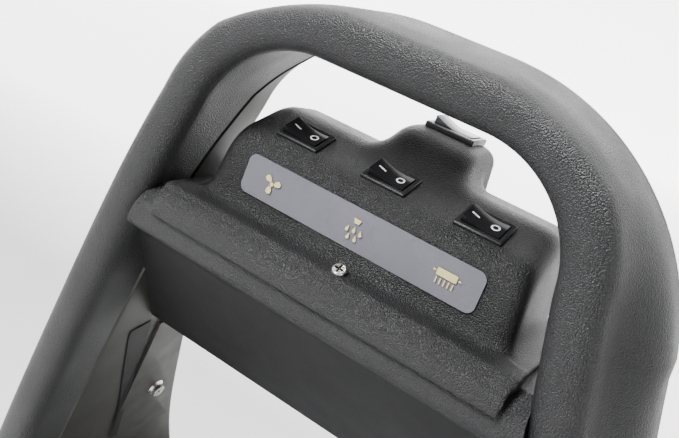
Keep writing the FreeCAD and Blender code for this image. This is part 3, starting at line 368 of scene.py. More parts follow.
CONSOLE_Y, CONSOLE_Z = -213, 860                # the middle of the console's own frame
LEG_BOTTOM, KNEE = 200, 600                     # levels where the legs start and where they lean in
LEG_IN, LEG_OUT = 146.5, 186.5                  # walls of a leg below the knee, from the middle
ARCH_IN, ARCH_OUT = 71.0, 105.5                 # the same two walls where the corners of the arch begin
GRIP_Z, ARCH_TOP = 898, 923.5                   # underside and top of the grip
CORNER_IN, CORNER_OUT = 44, 112                 # radii of the arch's corners
FRONT_Y, BACK_Y, LEAN_Z = -241, -184, 815       # front and rear plane above the level where they part
FRONT_LEAN, BACK_LEAN = 0.09, 0.505             # how fast the planes part below that level
FRONT_TILT, FRONT_TILT_Z = 0.11, 850            # how the front leans back near the top
BACK_TILT = 0.153
LEAN = math.atan((LEG_IN - ARCH_IN) / (GRIP_Z - KNEE))


def soft_ramp(value, width):
    """Zero below, the value above, with a rounded knee of about that width."""
    return 0.5 * (value + np.sqrt(value * value + width * width))


def leg_shift(z):
    """How far a leg has moved in at a level."""
    return math.tan(LEAN) * soft_ramp(z - KNEE, 40)


def wall_x(z):
    """The inner wall of the right leg at a level."""
    return LEG_IN - leg_shift(z)


def corner_centre(side_x, top, radius):
    """Centre of the circle that rounds the corner between a leaning leg line and the arch's top line."""
    x = side_x + (-radius + radius * math.sin(LEAN)) / math.cos(LEAN)
    return np.array([x, top - radius])


def beyond_outline(point, centre):
    """Distance of a point outside the outer outline of leg, corner and arch."""
    x, z = point
    reach = np.array([x, z]) - centre
    turn = math.atan2(reach[1], reach[0])
    if turn > math.pi / 2:
        return z - ARCH_TOP
    if turn > LEAN:
        return np.linalg.norm(reach) - CORNER_OUT
    return (x - LEG_OUT + leg_shift(z)) * math.cos(LEAN)


def contour_pairs():
    """Points of the inner outline and those straight out from them on the outer one, foot to middle."""
    centre_in = corner_centre(ARCH_IN, GRIP_Z, CORNER_IN)
    centre_out = corner_centre(ARCH_OUT, ARCH_TOP, CORNER_OUT)
    corner_start = centre_in[1] + CORNER_IN * math.sin(LEAN)
    inner, outward = [], []
    for z in np.linspace(LEG_BOTTOM, corner_start, 90)[:-1]:
        inner.append((wall_x(z), z))
        turn = LEAN / (1 + math.exp((KNEE - z) / 12))
        outward.append((math.cos(turn), math.sin(turn) if z > LEG_BOTTOM + 1 else 0.0))
    for turn in np.linspace(LEAN, math.pi / 2, 30):
        normal = np.array([math.cos(turn), math.sin(turn)])
        inner.append(centre_in + CORNER_IN * normal)
        outward.append(normal)
    for f in np.linspace(1, 0, 10)[1:]:
        inner.append((centre_in[0] * f, GRIP_Z))
        outward.append((0.0, 1.0))
    inner, outward = np.array(inner), np.array(outward)
    outer = []
    for start, ahead in zip(inner, outward):
        reach = 20.0
        for _ in range(12):
            reach -= beyond_outline(start + ahead * reach, centre_out)
        outer.append(start + ahead * reach)
    return inner, np.array(outer)


def front_plane(z):
    """The operator's side of the handle at a level."""
    return FRONT_Y + FRONT_LEAN * soft_ramp(LEAN_Z - z, 30) + FRONT_TILT * soft_ramp(z - FRONT_TILT_Z, 20)


def back_plane(z):
    """The far side of the handle at a level."""
    return BACK_Y + BACK_LEAN * soft_ramp(LEAN_Z - z, 24) + BACK_TILT * soft_ramp(z - LEAN_Z, 24)


SEAM_LEVELS = (-60, -37, -16, 5, 16, 24, 36)    # levels in the console's frame
SEAM_DEPTHS = (29, 30, 35, 42, 50, 56, 66)      # depth of the seam between the shells on the inner wall
SEAM_OUTER = 9                                  # the seam's distance from the rear on the outer wall


def inner_seam(depth, level):
    """Depth of the seam on the inner wall, always short of the rear."""
    return min(depth - 3, np.interp(level, SEAM_LEVELS, SEAM_DEPTHS))


def inner_draft(level):
    """How much the inner wall opens towards the rear, per millimetre of depth."""
    return np.interp(level, (-80, -20, 45), (0, 0.07, 0.1))


def front_section(width, depth, level):
    """Front shell across one leg: (distance out from the inner wall, depth behind the front plane)."""
    bar = min(20.0, width - 4.4)
    seam_in = inner_seam(depth, level)
    seam_out = depth - SEAM_OUTER
    flare = min(0.62 * seam_out, 44)
    draft = inner_draft(level)
    return softened([(seam_in * draft + 1.0, seam_in), (seam_in * draft, seam_in - 1.0), (0, 0), (bar, 0),
                     (bar + 3.2, 17), (width - 0.6, flare), (width, seam_out - 1.0), (width - 1.0, seam_out)],
                    (0.3, 10, 9, 6, 12, 0.5), 7)


def rear_section(width, depth, level):
    """Rear shell across one leg, in the same measures."""
    seam_in = inner_seam(depth, level)
    seam_out = depth - SEAM_OUTER
    draft = inner_draft(level)
    return softened([(width - 1.0, seam_out + 0.6), (width - 0.3, seam_out + 1.4), (width - 0.9, depth),
                     (depth * draft + 0.4, depth), (seam_in * draft, seam_in + 1.4),
                     (seam_in * draft + 1.0, seam_in + 0.6)],
                    (0.5, 5.5, 3.0, 0.3), 7)


def handle_shell(name, section, material, node):
    """A shell drawn along both legs and the arch, its section laid across each pair of outline points."""
    inner, outer = contour_pairs()
    rings = []
    for side in (-1, 1):
        half = []
        for near, far in zip(inner, outer):
            z = (near[1] + far[1]) / 2
            width = np.linalg.norm(far - near)
            depth = back_plane(z) - front_plane(z)
            out = (far - near) / width
            ring = [(side * (near[0] + out[0] * s), front_plane(z) + e, near[1] + out[1] * s)
                    for s, e in section(width, depth, z - CONSOLE_Z)]
            half.append(ring)
        rings += half if side < 0 else half[:-1][::-1]
    points, faces = loft(rings)
    obj = mesh_object(name, points, faces, [material], "machine")
    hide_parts(node)


handle_shell("arch_front", front_section, looks["charcoal_shell"], "handle_front_shell")
handle_shell("arch_rear", rear_section, looks["olive_shell"], "handle_rear_shell")


def crossbar():
    """The trough under the console: a pebbled band in front and a smooth face below it."""
    back, top, bottom = 43, -38, -132.7
    outline = softened([(back, top), (-17, top), (-27.2, -45), (-27.2, -57.5), (-15.5, -64), (38, bottom),
                        (back, bottom)], (0.5, 7, 4, 3, 3), 6)
    outline = np.vstack([outline, [(back, top - 0.2)]])
    rings = []
    for f in np.linspace(-1, 1, 25):
        rings.append([(f * (wall_x(CONSOLE_Z + u) + 1.5), CONSOLE_Y + d, CONSOLE_Z + u)
                      for d, u in outline])
    points, faces = loft(rings)
    obj = mesh_object("crossbar", points, faces, [looks["charcoal_shell"], smooth_dark], "machine")
    band_bottom = (CONSOLE_Z - 62) * MM
    for face in obj.data.polygons:
        if face.center.z < band_bottom:
            face.material_index = 1


crossbar()


def painted_gap_shade():
    """Painted shade: a near-black sheet laid on the inner wall of each leg below the crossbar, beside the
    upright plate, where the gap between them lies in shadow.
    """
    outline = ((40, -136), (26, -140), (27, -145), (37, -166), (56, -206), (68, -242), (74, -242), (50, -170))
    for side, word in ((-1, "left"), (1, "right")):
        points = [(side * (wall_x(CONSOLE_Z + u) - 0.45), CONSOLE_Y + d, CONSOLE_Z + u) for d, u in outline]
        faces = [tuple(range(len(points)))[::side]]
        # The sheet is painted shade, not a part: smooth dark plastic 0.45 mm in front of the wall, drawn
        # where the gap's shadow falls.
        obj = mesh_object(f"painted_gap_shade_{word}", points, faces, [smooth_dark], "machine", smooth=False)


painted_gap_shade()

# ---------------------------------------------------------------- console cover


def smooth_max(a, b, reach):
    """The larger of two distances, their crossing rounded over that reach."""
    blend = np.maximum(reach - np.abs(a - b), 0) / reach
    return np.maximum(a, b) + blend * blend * reach / 4


def smooth_min(a, b, reach):
    """The smaller of two distances, their crossing rounded over that reach."""
    return -smooth_max(-a, -b, reach)


def rounded_solid(reach, *planes):
    """The solid inside all the planes, with rounded edges."""
    solid = planes[0]
    for plane in planes[1:]:
        solid = smooth_max(solid, plane, reach)
    return solid


def surface_net(field, low, high, step):
    """A quad mesh where field is zero, its points drawn onto that surface."""
    axes = [np.arange(a, b + step, step) for a, b in zip(low, high)]
    grid = np.stack(np.meshgrid(*axes, indexing="ij"), -1)
    value = field(grid)
    inside = value < 0
    cells = tuple(n - 1 for n in value.shape)
    total = np.zeros(cells + (3,))
    hits = np.zeros(cells)
    corners = [(i, j, k) for i in (0, 1) for j in (0, 1) for k in (0, 1)]
    for first in corners:
        for axis in range(3):
            if first[axis]:
                continue
            second = list(first)
            second[axis] = 1
            a = tuple(slice(o, o + n) for o, n in zip(first, cells))
            b = tuple(slice(o, o + n) for o, n in zip(second, cells))
            crossing = inside[a] != inside[b]
            gap = np.where(crossing, value[a] - value[b], 1)
            along = np.where(crossing, value[a] / gap, 0)
            place = grid[a] + along[..., None] * (grid[b] - grid[a])
            total += np.where(crossing[..., None], place, 0)
            hits += crossing
    used = hits > 0
    index = np.full(cells, -1)
    index[used] = np.arange(used.sum())
    points = total[used] / hits[used][:, None]
    faces = []
    for axis in range(3):
        others = [a for a in range(3) if a != axis]
        here = [slice(1, -1)] * 3
        here[axis] = slice(0, -1)
        ahead = list(here)
        ahead[axis] = slice(1, None)
        entering = inside[tuple(here)]
        change = entering != inside[tuple(ahead)]
        at = np.argwhere(change)
        offset = np.array([1, 1, 1])
        offset[axis] = 0
        at = at + offset
        flip = entering[change]
        quad = []
        for s, t in ((0, 0), (1, 0), (1, 1), (0, 1)):
            cell = at.copy()
            cell[:, others[0]] -= s
            cell[:, others[1]] -= t
            quad.append(index[tuple(cell.T)])
        quad = np.stack(quad, -1)
        turn = flip if axis != 1 else ~flip
        quad[~turn] = quad[~turn][:, ::-1]
        faces.append(quad)
    faces = np.concatenate(faces)
    for _ in range(3):
        slope = np.stack([field(points + shift) - field(points - shift)
                          for shift in np.eye(3) * 0.05], -1) / 0.1
        length = (slope ** 2).sum(-1, keepdims=True)
        points = points - slope * field(points)[:, None] / np.maximum(length, 0.2)
    return points, faces.tolist()


FACE = math.radians(22)                         # slope of the face with the three switches
POD_X, POD_TOP, POD_HALF = 2, 21.5, 18.6        # the pod that carries the master switch
COVER_HALF, FLANGE_HALF = 69.5, 84              # half widths of the cover and of the flange it stands on
COVER_BACK, POD_BACK = 47, 68
COVER_BOTTOM = -36.5
LABEL_Y, LABEL_Z = -8.65, -17.4                 # the middle of the label's wall
SCREW_X, SCREW_Y = 3.2, -17
DIMPLE_RADIUS, DIMPLE_BOTTOM = 3.7, -33.6
LIP_LINE = ((-12, -35.0), (-20, -36.0), (-24.5, -38.0), (-27.4, -41.5), (-28.4, -46.5))
LIP_HALF = 83.5
LIP_THICKNESS = 2.7


def sheet_distance(x, y, z):
    """Distance to the lip that hangs over the crossbar's front edge."""
    best = np.full(x.shape, 1e3)
    for (y0, z0), (y1, z1) in zip(LIP_LINE, LIP_LINE[1:]):
        length = math.hypot(y1 - y0, z1 - z0)
        along = np.clip(((y - y0) * (y1 - y0) + (z - z0) * (z1 - z0)) / length ** 2, 0, 1)
        best = np.minimum(best, np.hypot(y - y0 - along * (y1 - y0), z - z0 - along * (z1 - z0)))
    return rounded_solid(0.8, best - LIP_THICKNESS / 2, np.abs(x) - LIP_HALF)


def beyond_plane(a, z, through, normal):
    """Distance beyond a plane that is level in the third direction."""
    return (a - through[0]) * normal[0] + (z - through[1]) * normal[1]


def console_field(p):
    """Distance to the console cover, in its own frame: x across, y back, z up from the middle switch."""
    x, y, z = p[..., 0], p[..., 1], p[..., 2]
    front = beyond_plane(y, z, (LABEL_Y, LABEL_Z), (-0.9965, 0.084))
    face = beyond_plane(y, z, (0, 0), (-math.sin(FACE), math.cos(FACE)))
    top = beyond_plane(y, z, (22, 8.9), (0.078, 0.997))
    ends = beyond_plane(np.abs(x), z, (COVER_HALF, 7.5), (0.991, 0.13))
    body = smooth_max(smooth_max(front, face, 9), top, 2.5)
    body = smooth_max(smooth_max(body, y - COVER_BACK, 6), ends, 9)
    body = np.maximum(body, COVER_BOTTOM - z)
    pod_sides = beyond_plane(np.abs(x - POD_X), z, (POD_HALF, POD_TOP), (1, 0.1))
    pod_front = beyond_plane(y, z, (33, POD_TOP), (-0.80, 0.6))
    pod = rounded_solid(8, pod_sides, pod_front, y - POD_BACK, z - POD_TOP)
    pod = np.maximum(pod, COVER_BOTTOM - z)
    solid = smooth_min(body, pod, 9)
    flange = rounded_solid(1.2, np.abs(x) - FLANGE_HALF, -y - 22, y - COVER_BACK, np.abs(z + 36.4) - 1.6)
    solid = smooth_min(solid, flange, 7)
    solid = smooth_min(solid, sheet_distance(x, y, z), 3)
    dimple = np.maximum(np.hypot(x - SCREW_X, y - SCREW_Y) - DIMPLE_RADIUS, DIMPLE_BOTTOM - z)
    return smooth_max(solid, -dimple, 1.0)


def console():
    """The cover's skin, in steps fine enough for its small roundings."""
    points, faces = surface_net(console_field, (-87, -33, -50), (87, 72, 26), 1.25)
    points = points + np.array([0, CONSOLE_Y, CONSOLE_Z])
    obj = mesh_object("console_skin", points, faces, [looks["console_black"]], "machine",
                      sharp=math.radians(60))
    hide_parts("console_cover")


console()

# ---------------------------------------------------------------- switches and label


def inset(outline, amount):
    """A closed outline moved inwards, its points in turning order."""
    outline = np.asarray(outline, float)
    before = outline - np.roll(outline, 1, 0)
    after = np.roll(outline, -1, 0) - outline
    sides = [np.stack([-e[:, 1], e[:, 0]], -1) / np.linalg.norm(e, axis=1, keepdims=True)
             for e in (before, after)]
    square = 1 + (sides[0] * sides[1]).sum(1, keepdims=True)
    return outline + amount * (sides[0] + sides[1]) / np.maximum(square, 0.4)


def slab(outline, low, high, edge):
    """Points (across, along, up) and faces of a plate between two heights, its top edge bevelled."""
    levels = ((0, low), (0, high - edge), (edge * 0.35, high - edge * 0.3), (edge, high))
    rings = [[(a, b, up) for a, b in inset(outline, cut)] for cut, up in levels]
    return loft(rings)


def placed(points, origin, tilt):
    """Points of a panel's own frame put into the machine's: x across, y up the panel, z out of it."""
    points = np.asarray(points, float)
    c, s = math.cos(tilt), math.sin(tilt)
    turn = np.array([[1, 0, 0], [0, c, -s], [0, s, c]])
    return points @ turn.T + np.array(origin)


def rectangle(half_x, half_y, corner=0.0):
    """A rectangle's outline in turning order, its corners rounded."""
    if not corner:
        return [(-half_x, -half_y), (half_x, -half_y), (half_x, half_y), (-half_x, half_y)]
    out = []
    for k, (sx, sy) in enumerate(((1, 1), (-1, 1), (-1, -1), (1, -1))):
        for t in np.linspace(0, math.pi / 2, 6):
            angle = t + k * math.pi / 2
            out.append((sx * (half_x - corner) + corner * math.cos(angle),
                        sy * (half_y - corner) + corner * math.sin(angle)))
    return out


def cross_screw():
    """The console's pan head screw with its cross recess, leaning towards the operator in its dimple."""
    reach, half = 1.9, 0.45
    middle = (reach + half) / 2
    arm = [(half, -half), (middle, -half), (reach, -half), (reach, 0), (reach, half), (middle, half)]
    angles = [math.radians(a) for a in (-45, -30, -15, 0, 15, 30)]
    recess, rim = [], []
    for k in range(4):
        c, s = round(math.cos(k * math.pi / 2)), round(math.sin(k * math.pi / 2))
        recess += [(c * a - s * b, s * a + c * b) for a, b in arm]
        rim += [(math.cos(t + k * math.pi / 2), math.sin(t + k * math.pi / 2)) for t in angles]
    head = ((3.1, -2.8), (3.1, 0.1), (2.7, 0.6))
    rings = [[(a * radius, b * radius, up) for a, b in rim] for radius, up in head]
    rings += [[(a, b, up) for a, b in recess] for up in (0.7, -2.2)]
    points, faces = loft(rings)
    spot = (SCREW_X, CONSOLE_Y + SCREW_Y - 0.5, CONSOLE_Z + DIMPLE_BOTTOM + 1.1)
    obj = mesh_object("console_screw_head", placed(points, spot, math.radians(38)), faces,
                      [looks["nickel"]], "machine")
    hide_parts("console_screw")


def rocker_top(x, scale=1.0):
    """Height of the rocker's hollow top above the panel: its left end stands up, its right end is flush."""
    x = x / scale
    return scale * (1.32 + 0.5 * soft_ramp(-x - 0.5, 3.0) * 0.72 + 0.004 * x * x)


def rocker(word, place, tilt, scale, lift, look, body):
    """The paddle: a hollow top with softened long edges over a plain block."""
    count = 19
    across = np.linspace(-8.05 * scale, 8.15 * scale, count)
    top = [[(x, half * scale, rocker_top(x, scale) + lift - drop * scale) for x in across]
           for half, drop in ((5.05, 0.55), (5.05, 0.12), (4.7, 0.0))]
    top += [[(x, -y, z) for x, y, z in row] for row in top[::-1]]
    foot = -3.5 * scale
    rows = [[(x, y, foot) for x, y, _ in top[0]]] + top + [[(x, y, foot) for x, y, _ in top[-1]]]
    points = np.array(rows).reshape(-1, 3)
    faces = [(i * count + j, i * count + j + 1, (i + 1) * count + j + 1, (i + 1) * count + j)
             for i in range(len(rows) - 1) for j in range(count - 1)]
    left = [i * count for i in range(len(rows))]
    right = [i * count + count - 1 for i in range(len(rows))]
    faces += [tuple(left), tuple(right[::-1])]
    obj = mesh_object(f"rocker_{word}_paddle", placed(points, place, tilt), faces, [looks[look]], body)
    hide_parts("master_rocker" if word == "master" else f"rocker_{word}")


def rocker_marks(word, place, tilt, body):
    """The printed I and O, laid on the paddle's hollow top."""
    bar = [((x, -0.42), (x, 0.42)) for x in np.linspace(-6.3, -2.9, 6)]
    ring = [((4.3 + 1.9 * math.cos(t), 1.9 * math.sin(t)), (4.3 + 1.2 * math.cos(t), 1.2 * math.sin(t)))
            for t in np.linspace(0, 2 * math.pi, 33)]
    points, faces = [], []
    for edges in (bar, ring):
        first = len(points)
        points += [(x, y, rocker_top(x) + 0.05) for pair in edges for x, y in pair]
        faces += [(first + 2 * k, first + 2 * k + 1, first + 2 * k + 3, first + 2 * k + 2)
                  for k in range(len(edges) - 1)]
    obj = mesh_object(f"rocker_{word}_marks", placed(points, place, tilt), faces, [white_print], body)


def bezel(word, place, tilt, scale, height):
    """The switch's frame: a bevelled rim around the well, and its case below the panel."""
    outer = rectangle(10.5 * scale, 7.5 * scale, 0.5)
    inner = rectangle(8.75 * scale, 5.6 * scale, 0.3)
    case = rectangle(9.4 * scale, 6.4 * scale, 0.5)
    rim = ((0, 0), (0, height - 0.5), (0.5, height))
    well = ((0, height), (0.25, height - 0.3), (0.25, -3))
    rings = [[(a, b, up) for a, b in inset(outer, cut)] for cut, up in rim]
    rings += [[(a, b, up) for a, b in inset(inner, cut)] for cut, up in well]
    frame_points, faces = loft(rings)
    del faces[-2]                               # the rim stays open below, where the case goes through
    case_points, case_faces = loft([[(a, b, up) for a, b in case] for up in (-14, 0.2)])
    faces += renumbered(case_faces, len(frame_points))
    points = placed(np.vstack([frame_points, case_points]), place, tilt)
    obj = mesh_object(f"bezel_{word}", points, faces, [looks["switch_black"]], "machine")
    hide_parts("master_switch_body" if word == "master" else f"switch_body_{word}")


SWITCH_PITCH, SWITCH_RISE = 43.3, 7.5           # along the face and up it
MASTER_Y, MASTER_SCALE = 53.5, 1.14
for index, word in ((-1, "left"), (0, "centre"), (1, "right")):
    spot = (index * SWITCH_PITCH, CONSOLE_Y + SWITCH_RISE * math.cos(FACE),
            CONSOLE_Z + SWITCH_RISE * math.sin(FACE))
    bezel(word, spot, FACE, 1.0, 1.5)
    rocker(word, spot, FACE, 1.0, 0.0, "rocker_black", f"rocker_{word}_body")
    rocker_marks(word, spot, FACE, f"rocker_{word}_body")
master_spot = (POD_X, CONSOLE_Y + MASTER_Y, CONSOLE_Z + POD_TOP)
bezel("master", master_spot, 0.0, MASTER_SCALE, 2.6)
rocker("master", master_spot, 0.0, MASTER_SCALE, 1.0, "rocker_grey", "master_rocker_body")
cross_screw()

LABEL_TILT = math.radians(90 - 4.5)


def icon(name, shapes):
    """Flat yellow print on the label: closed outlines in millimetres from the label's middle."""
    points, faces = [], []
    for shape in shapes:
        first = len(points)
        points += [(a, b, 0.65) for a, b in shape]
        faces.append(tuple(range(first, len(points))))
    at = (0, CONSOLE_Y + LABEL_Y - 0.8, CONSOLE_Z + LABEL_Z)
    obj = mesh_object(name, placed(points, at, LABEL_TILT), faces, [yellow_print], "machine", smooth=False)


def circle(x, y, radius, count=20, start=0.0, stop=2 * math.pi):
    """Points around a circle or part of one."""
    return [(x + radius * math.cos(t), y + radius * math.sin(t)) for t in np.linspace(start, stop, count)]


def stroke(points, width):
    """A line of that width, as one outline."""
    points = np.asarray(points, float)
    ahead = np.gradient(points, axis=0)
    side = np.stack([-ahead[:, 1], ahead[:, 0]], -1)
    side *= width / 2 / np.linalg.norm(side, axis=1, keepdims=True)
    return [tuple(p) for p in points + side][::-1] + [tuple(p) for p in points - side]


def fan_icon(x):
    """A hub and three blades, for the suction."""
    shapes = [circle(x, 0, 0.9)]
    for k in range(3):
        turn = k * 2 * math.pi / 3
        c, s = math.cos(turn), math.sin(turn)
        blade = [(0.9, 0.5), (1.9, 2.0), (3.3, 2.5), (4.2, 1.5), (4.1, 0.2), (3.0, -0.2), (1.6, -0.4)]
        shapes.append([(x + c * a - s * b, s * a + c * b) for a, b in blade[::-1]])
    return shapes


def spray_icon(x):
    """A nozzle and five drops, for the spray."""
    shapes = [[(x - 1.8, 4.2), (x + 1.8, 4.2), (x + 1.0, 2.2), (x - 1.0, 2.2)][::-1]]
    for dx, dy in ((-3.2, -1.4), (0, -1.0), (3.2, -1.4), (-1.7, -4.2), (1.7, -4.2)):
        drop = circle(x + dx, dy, 0.75, 12, -math.pi * 1.15, math.pi * 0.15)
        shapes.append(drop + [(x + dx * 0.85, dy + 2.0)])
    return shapes


def roller_icon(x):
    """A drum with bristles and two axle ends, for the brush."""
    shapes = [[(x + a, b + 1.2) for a, b in rectangle(4.4, 1.5, 0.6)]]
    shapes += [stroke([(x + dx, -0.9), (x + dx, -3.4)], 0.5) for dx in (-3.6, -1.8, 0, 1.8, 3.6)]
    shapes.append(stroke([(x - 6.0, 1.2), (x - 4.9, 1.2)], 0.7))
    shapes.append(stroke([(x + 4.9, 1.2), (x + 6.0, 1.2)], 0.7))
    return shapes


icon("icon_suction", fan_icon(-42))
icon("icon_spray", spray_icon(0))
icon("icon_roller", roller_icon(42))

# ---------------------------------------------------------------- wheels, brush and hoses

WHEEL_X, WHEEL_Y, WHEEL_RADIUS = 167, -90, 90
BRUSH_Y, BRUSH_RADIUS, CORE_RADIUS, BRUSH_HALF = 195, 55, 27, 146


def ring_faces(rings, around):
    """Quads of a skin that closes on itself both ways."""
    faces = []
    for i in range(rings):
        here, ahead = i * around, (i + 1) % rings * around
        for j in range(around):
            k = (j + 1) % around
            faces.append((here + j, here + k, ahead + k, ahead + j))
    return faces


def tyre(side, word):
    """A tyre with slanted grooves across its tread, meeting in the middle."""
    tread = WHEEL_RADIUS - 0.1
    outline = softened([(-12, 64.4), (-13.8, 70), (-13.2, 84), (-9.5, tread), (9.5, tread), (13.2, 84),
                        (13.8, 70), (12, 64.4)], (2, 6, 2.5, 2.5, 6, 2), 3)
    across = np.vstack([outline[:12], [(x, tread) for x in np.linspace(-8, 8, 13)], outline[-12:]])
    turns, grooves, groove_depth, slant = 336, 42, 1.8, 0.055
    points = []
    for k in range(turns):
        angle = 2 * math.pi * k / turns
        for x, radius in across:
            phase = (k * grooves / turns + abs(x) * slant) % 1.0
            grooved = phase < 0.3 and radius > 84 and abs(x) > 1.5
            r = radius - (groove_depth if grooved else 0.0)
            points.append((side * WHEEL_X + x, WHEEL_Y + r * math.cos(angle),
                           WHEEL_RADIUS + r * math.sin(angle)))
    obj = mesh_object(f"tyre_tread_{word}", points, ring_faces(turns, len(across)), [looks["tyre_grey"]],
                      f"{word}_wheel", sharp=math.radians(30))
    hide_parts(f"tyre_{word}")


def wheel_ribs(side, word):
    """Eight moulded ribs on the outer face of the wheel."""
    rib, rib_faces = slab(rectangle(1.8, 19.5), 4, 10, 0.8)
    rib_middle = 35.5
    points, faces = [], []
    for k in range(8):
        c, s = math.cos(k * math.pi / 4), math.sin(k * math.pi / 4)
        faces += renumbered(rib_faces, len(points))
        for a, b, up in rib:
            r = b + rib_middle
            points.append((side * (WHEEL_X + up), WHEEL_Y + r * c - a * s, WHEEL_RADIUS + r * s + a * c))
    obj = mesh_object(f"wheel_ribs_{word}", points, faces, [looks["wheel_plastic"]], f"{word}_wheel")


for side, word in ((-1, "left"), (1, "right")):
    tyre(side, word)
    wheel_ribs(side, word)


def bristles():
    """Tufts in sixteen spiral rows, each a bundle that spreads towards its end."""
    rows, along, sides, margin, spiral = 16, 37, 6, 5, 0.35
    levels = ((CORE_RADIUS - 1, 2.2), (BRUSH_RADIUS - 3, 4.2), (BRUSH_RADIUS - 0.2, 3.0))
    points, faces = [], []
    for row in range(rows):
        for k in range(along):
            x = -BRUSH_HALF + margin + k * (2 * BRUSH_HALF - 2 * margin) / (along - 1)
            angle = 2 * math.pi * (row / rows + spiral * k / along)
            ahead = np.array([0, math.cos(angle), math.sin(angle)])
            sideways = np.array([0, -math.sin(angle), math.cos(angle)])
            tuft = []
            for radius, spread in levels:
                for j in range(sides):
                    t = 2 * math.pi * j / sides
                    place = ahead * radius + sideways * spread * math.sin(t)
                    tuft.append((x + spread * 0.85 * math.cos(t), BRUSH_Y + place[1],
                                 BRUSH_RADIUS + place[2]))
            _, tuft_faces = loft(np.reshape(tuft, (len(levels), sides, 3)))
            del tuft_faces[-2]                  # no cap where the tuft goes into the core
            faces += renumbered(tuft_faces, len(points))
            points += tuft
    obj = mesh_object("bristle_tufts", points, faces, [looks["bristle_blue"]], "brush")
    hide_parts("brush_bristles")


bristles()


def bent_line(points, radii, step):
    """Places every step along straight runs joined by arcs, in a plane of constant X."""
    points = [np.array(p, float) for p in points]
    line = [points[0]]
    for before, corner, after, radius in zip(points, points[1:], points[2:], radii):
        back, on = before - corner, after - corner
        back, on = back / np.linalg.norm(back), on / np.linalg.norm(on)
        half = math.acos(np.clip(np.dot(back, on), -1, 1)) / 2
        middle = back + on
        centre = corner + middle / np.linalg.norm(middle) * radius / math.sin(half)
        start = corner + back * radius / math.tan(half) - centre
        stop = corner + on * radius / math.tan(half) - centre
        for f in np.linspace(0, 1, 24):
            arm = start * (1 - f) + stop * f
            line.append(centre + arm * radius / np.linalg.norm(arm))
    line.append(points[-1])
    line = np.array(line)
    length = np.concatenate([[0], np.cumsum(np.linalg.norm(np.diff(line, axis=0), axis=1))])
    places = np.arange(0, length[-1], step)
    return np.stack([np.interp(places, length, line[:, i]) for i in range(3)], -1)


HOSE_RADIUS, RIB_PITCH, RIB_DEPTH, CUFF_LENGTH = 16.0, 5, 1.4, 22


def corrugated(name, points, radii, node):
    """A fixed hose with rounded ribs and a plain cuff at each end, in rings a millimetre apart."""
    line = bent_line(points, radii, 1.0)
    tangents = np.gradient(line, axis=0)
    tangents /= np.linalg.norm(tangents, axis=1, keepdims=True)
    level = np.array([1.0, 0, 0])
    rings = []
    for k, (place, ahead) in enumerate(zip(line, tangents)):
        other = np.cross(ahead, level)
        plain = k < CUFF_LENGTH or k > len(line) - CUFF_LENGTH - 1
        rib = RIB_DEPTH - 1.2 * math.cos(2 * math.pi * k / RIB_PITCH)
        radius = HOSE_RADIUS if plain else HOSE_RADIUS - rib
        rings.append([place + radius * (level * math.cos(t) + other * math.sin(t))
                      for t in np.linspace(0, 2 * math.pi, 25)[:-1]])
    hose, faces = loft(rings)
    obj = mesh_object(name, hose, faces, [looks["hose_grey"]], "machine", sharp=math.radians(70))
    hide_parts(node)


corrugated("suction_hose_ribs", [(-50, -232, 63.2), (-50, -217, 300), (-50, -216, 515), (-50, -186.4, 515)],
           (300, 27), "suction_hose")
corrugated("vacuum_duct_ribs", [(50, -186.4, 530), (50, -216, 530), (50, -216, 170), (50, -189.2, 170)],
           (27, 26), "vacuum_duct")

# ---------------------------------------------------------------- moulded panels and vents


PANEL_CORNER, PANEL_EDGE, PANEL_SUNK = 8.0, 1.0, 0.6


def panel(name, centre, tilt, half, height, material_slot, body):
    """A raised panel moulded into a wall: centre on the wall, tilt from level about the X axis."""
    points, faces = slab(rectangle(*half, PANEL_CORNER), -PANEL_SUNK, height, PANEL_EDGE)
    obj = mesh_object(name, placed(points, centre, math.radians(tilt)), faces, [looks[material_slot]], body)


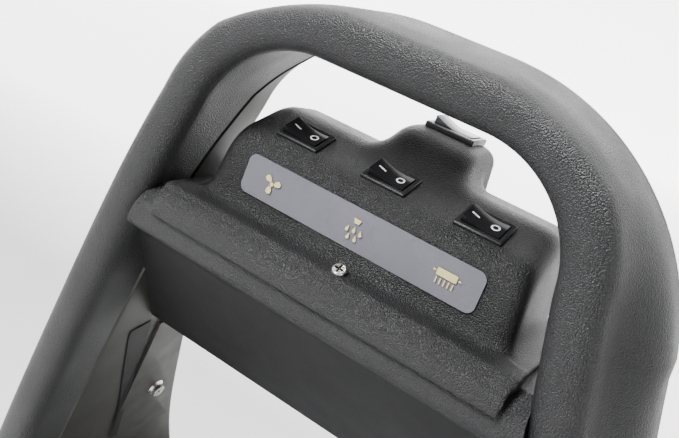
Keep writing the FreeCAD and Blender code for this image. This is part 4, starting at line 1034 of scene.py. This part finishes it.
panel("recovery_front_panel", (0, 22.6, 468), -60.6, (62, 20), 1.4, "recovery_plastic", "recovery")
panel("recovery_back_panel", (0, -180, 440), 90, (26, 42), 1.4, "recovery_plastic", "recovery")
panel("solution_back_panel_left", (-98, -180, 295), 90, (22, 55), 1.4, "solution_plastic", "machine")
panel("solution_back_panel_right", (98, -180, 295), 90, (22, 55), 1.4, "solution_plastic", "machine")
panel("lid_panel", (0, -102, 576), 0, (84, 52), 1.2, "clear_lid", "lid")
panel("deck_panel", (0, 230.5, 107.2), -35.1, (120, 17), 1.2, "charcoal_shell", "machine")


def vents():
    """Seven louvres in the rear wall of the housing, for the motors' cooling air."""
    fin, fin_faces = slab(rectangle(24, 1.6, 0.8), -0.4, 1.0, 0.4)
    lowest, pitch = 118, 9
    points, faces = [], []
    for k in range(7):
        faces += renumbered(fin_faces, len(points))
        points += [tuple(p) for p in placed(fin, (-115, -189, lowest + pitch * k), math.pi / 2)]
    obj = mesh_object("housing_vents", points, faces, [smooth_dark], "machine")


vents()

# ---------------------------------------------------------------- floor


def floor():
    """A pale floor that runs into a pale wall well behind the machine; both glow softly at the back."""
    mesh = bpy.data.meshes.new("floor")
    reach, wall, height = 30, 7, 14
    mesh.from_pydata([(-reach, -reach, 0), (reach, -reach, 0), (reach, wall, 0), (-reach, wall, 0),
                      (reach, wall, height), (-reach, wall, height)], [], [(0, 1, 2, 3), (3, 2, 4, 5)])
    shader = Shader("pale_floor").set(Specular_IOR_Level=0.2, Emission_Color=(1, 1, 1, 1))
    behind = shader.along("Y", 0.9, 1.9, 0.1, 3.2)
    less_right = shader.along("X", -0.6, 1.2, 1, 0.25)
    less_above = shader.along("Z", 2.4, 5, 1, 0.15)
    backdrop = shader.combine("MULTIPLY", behind, shader.combine("MULTIPLY", less_right, less_above))
    all_round = shader.away(1.5, 4, 0, 0.55)
    glow = shader.combine("ADD", backdrop, all_round)
    shader.tree.links.new(glow, shader.surface.inputs["Emission Strength"])
    shader.colour(shader.ramp(shader.noise(300, 2), (0.3, 0.86), (0.7, 0.9)))
    shader.roughness(shader.ramp(shader.noise(80, 2), (0.3, 0.6), (0.7, 0.7)))
    mesh.materials.append(shader.material)
    obj = bpy.data.objects.new("floor", mesh)
    bpy.context.collection.objects.link(obj)


floor()
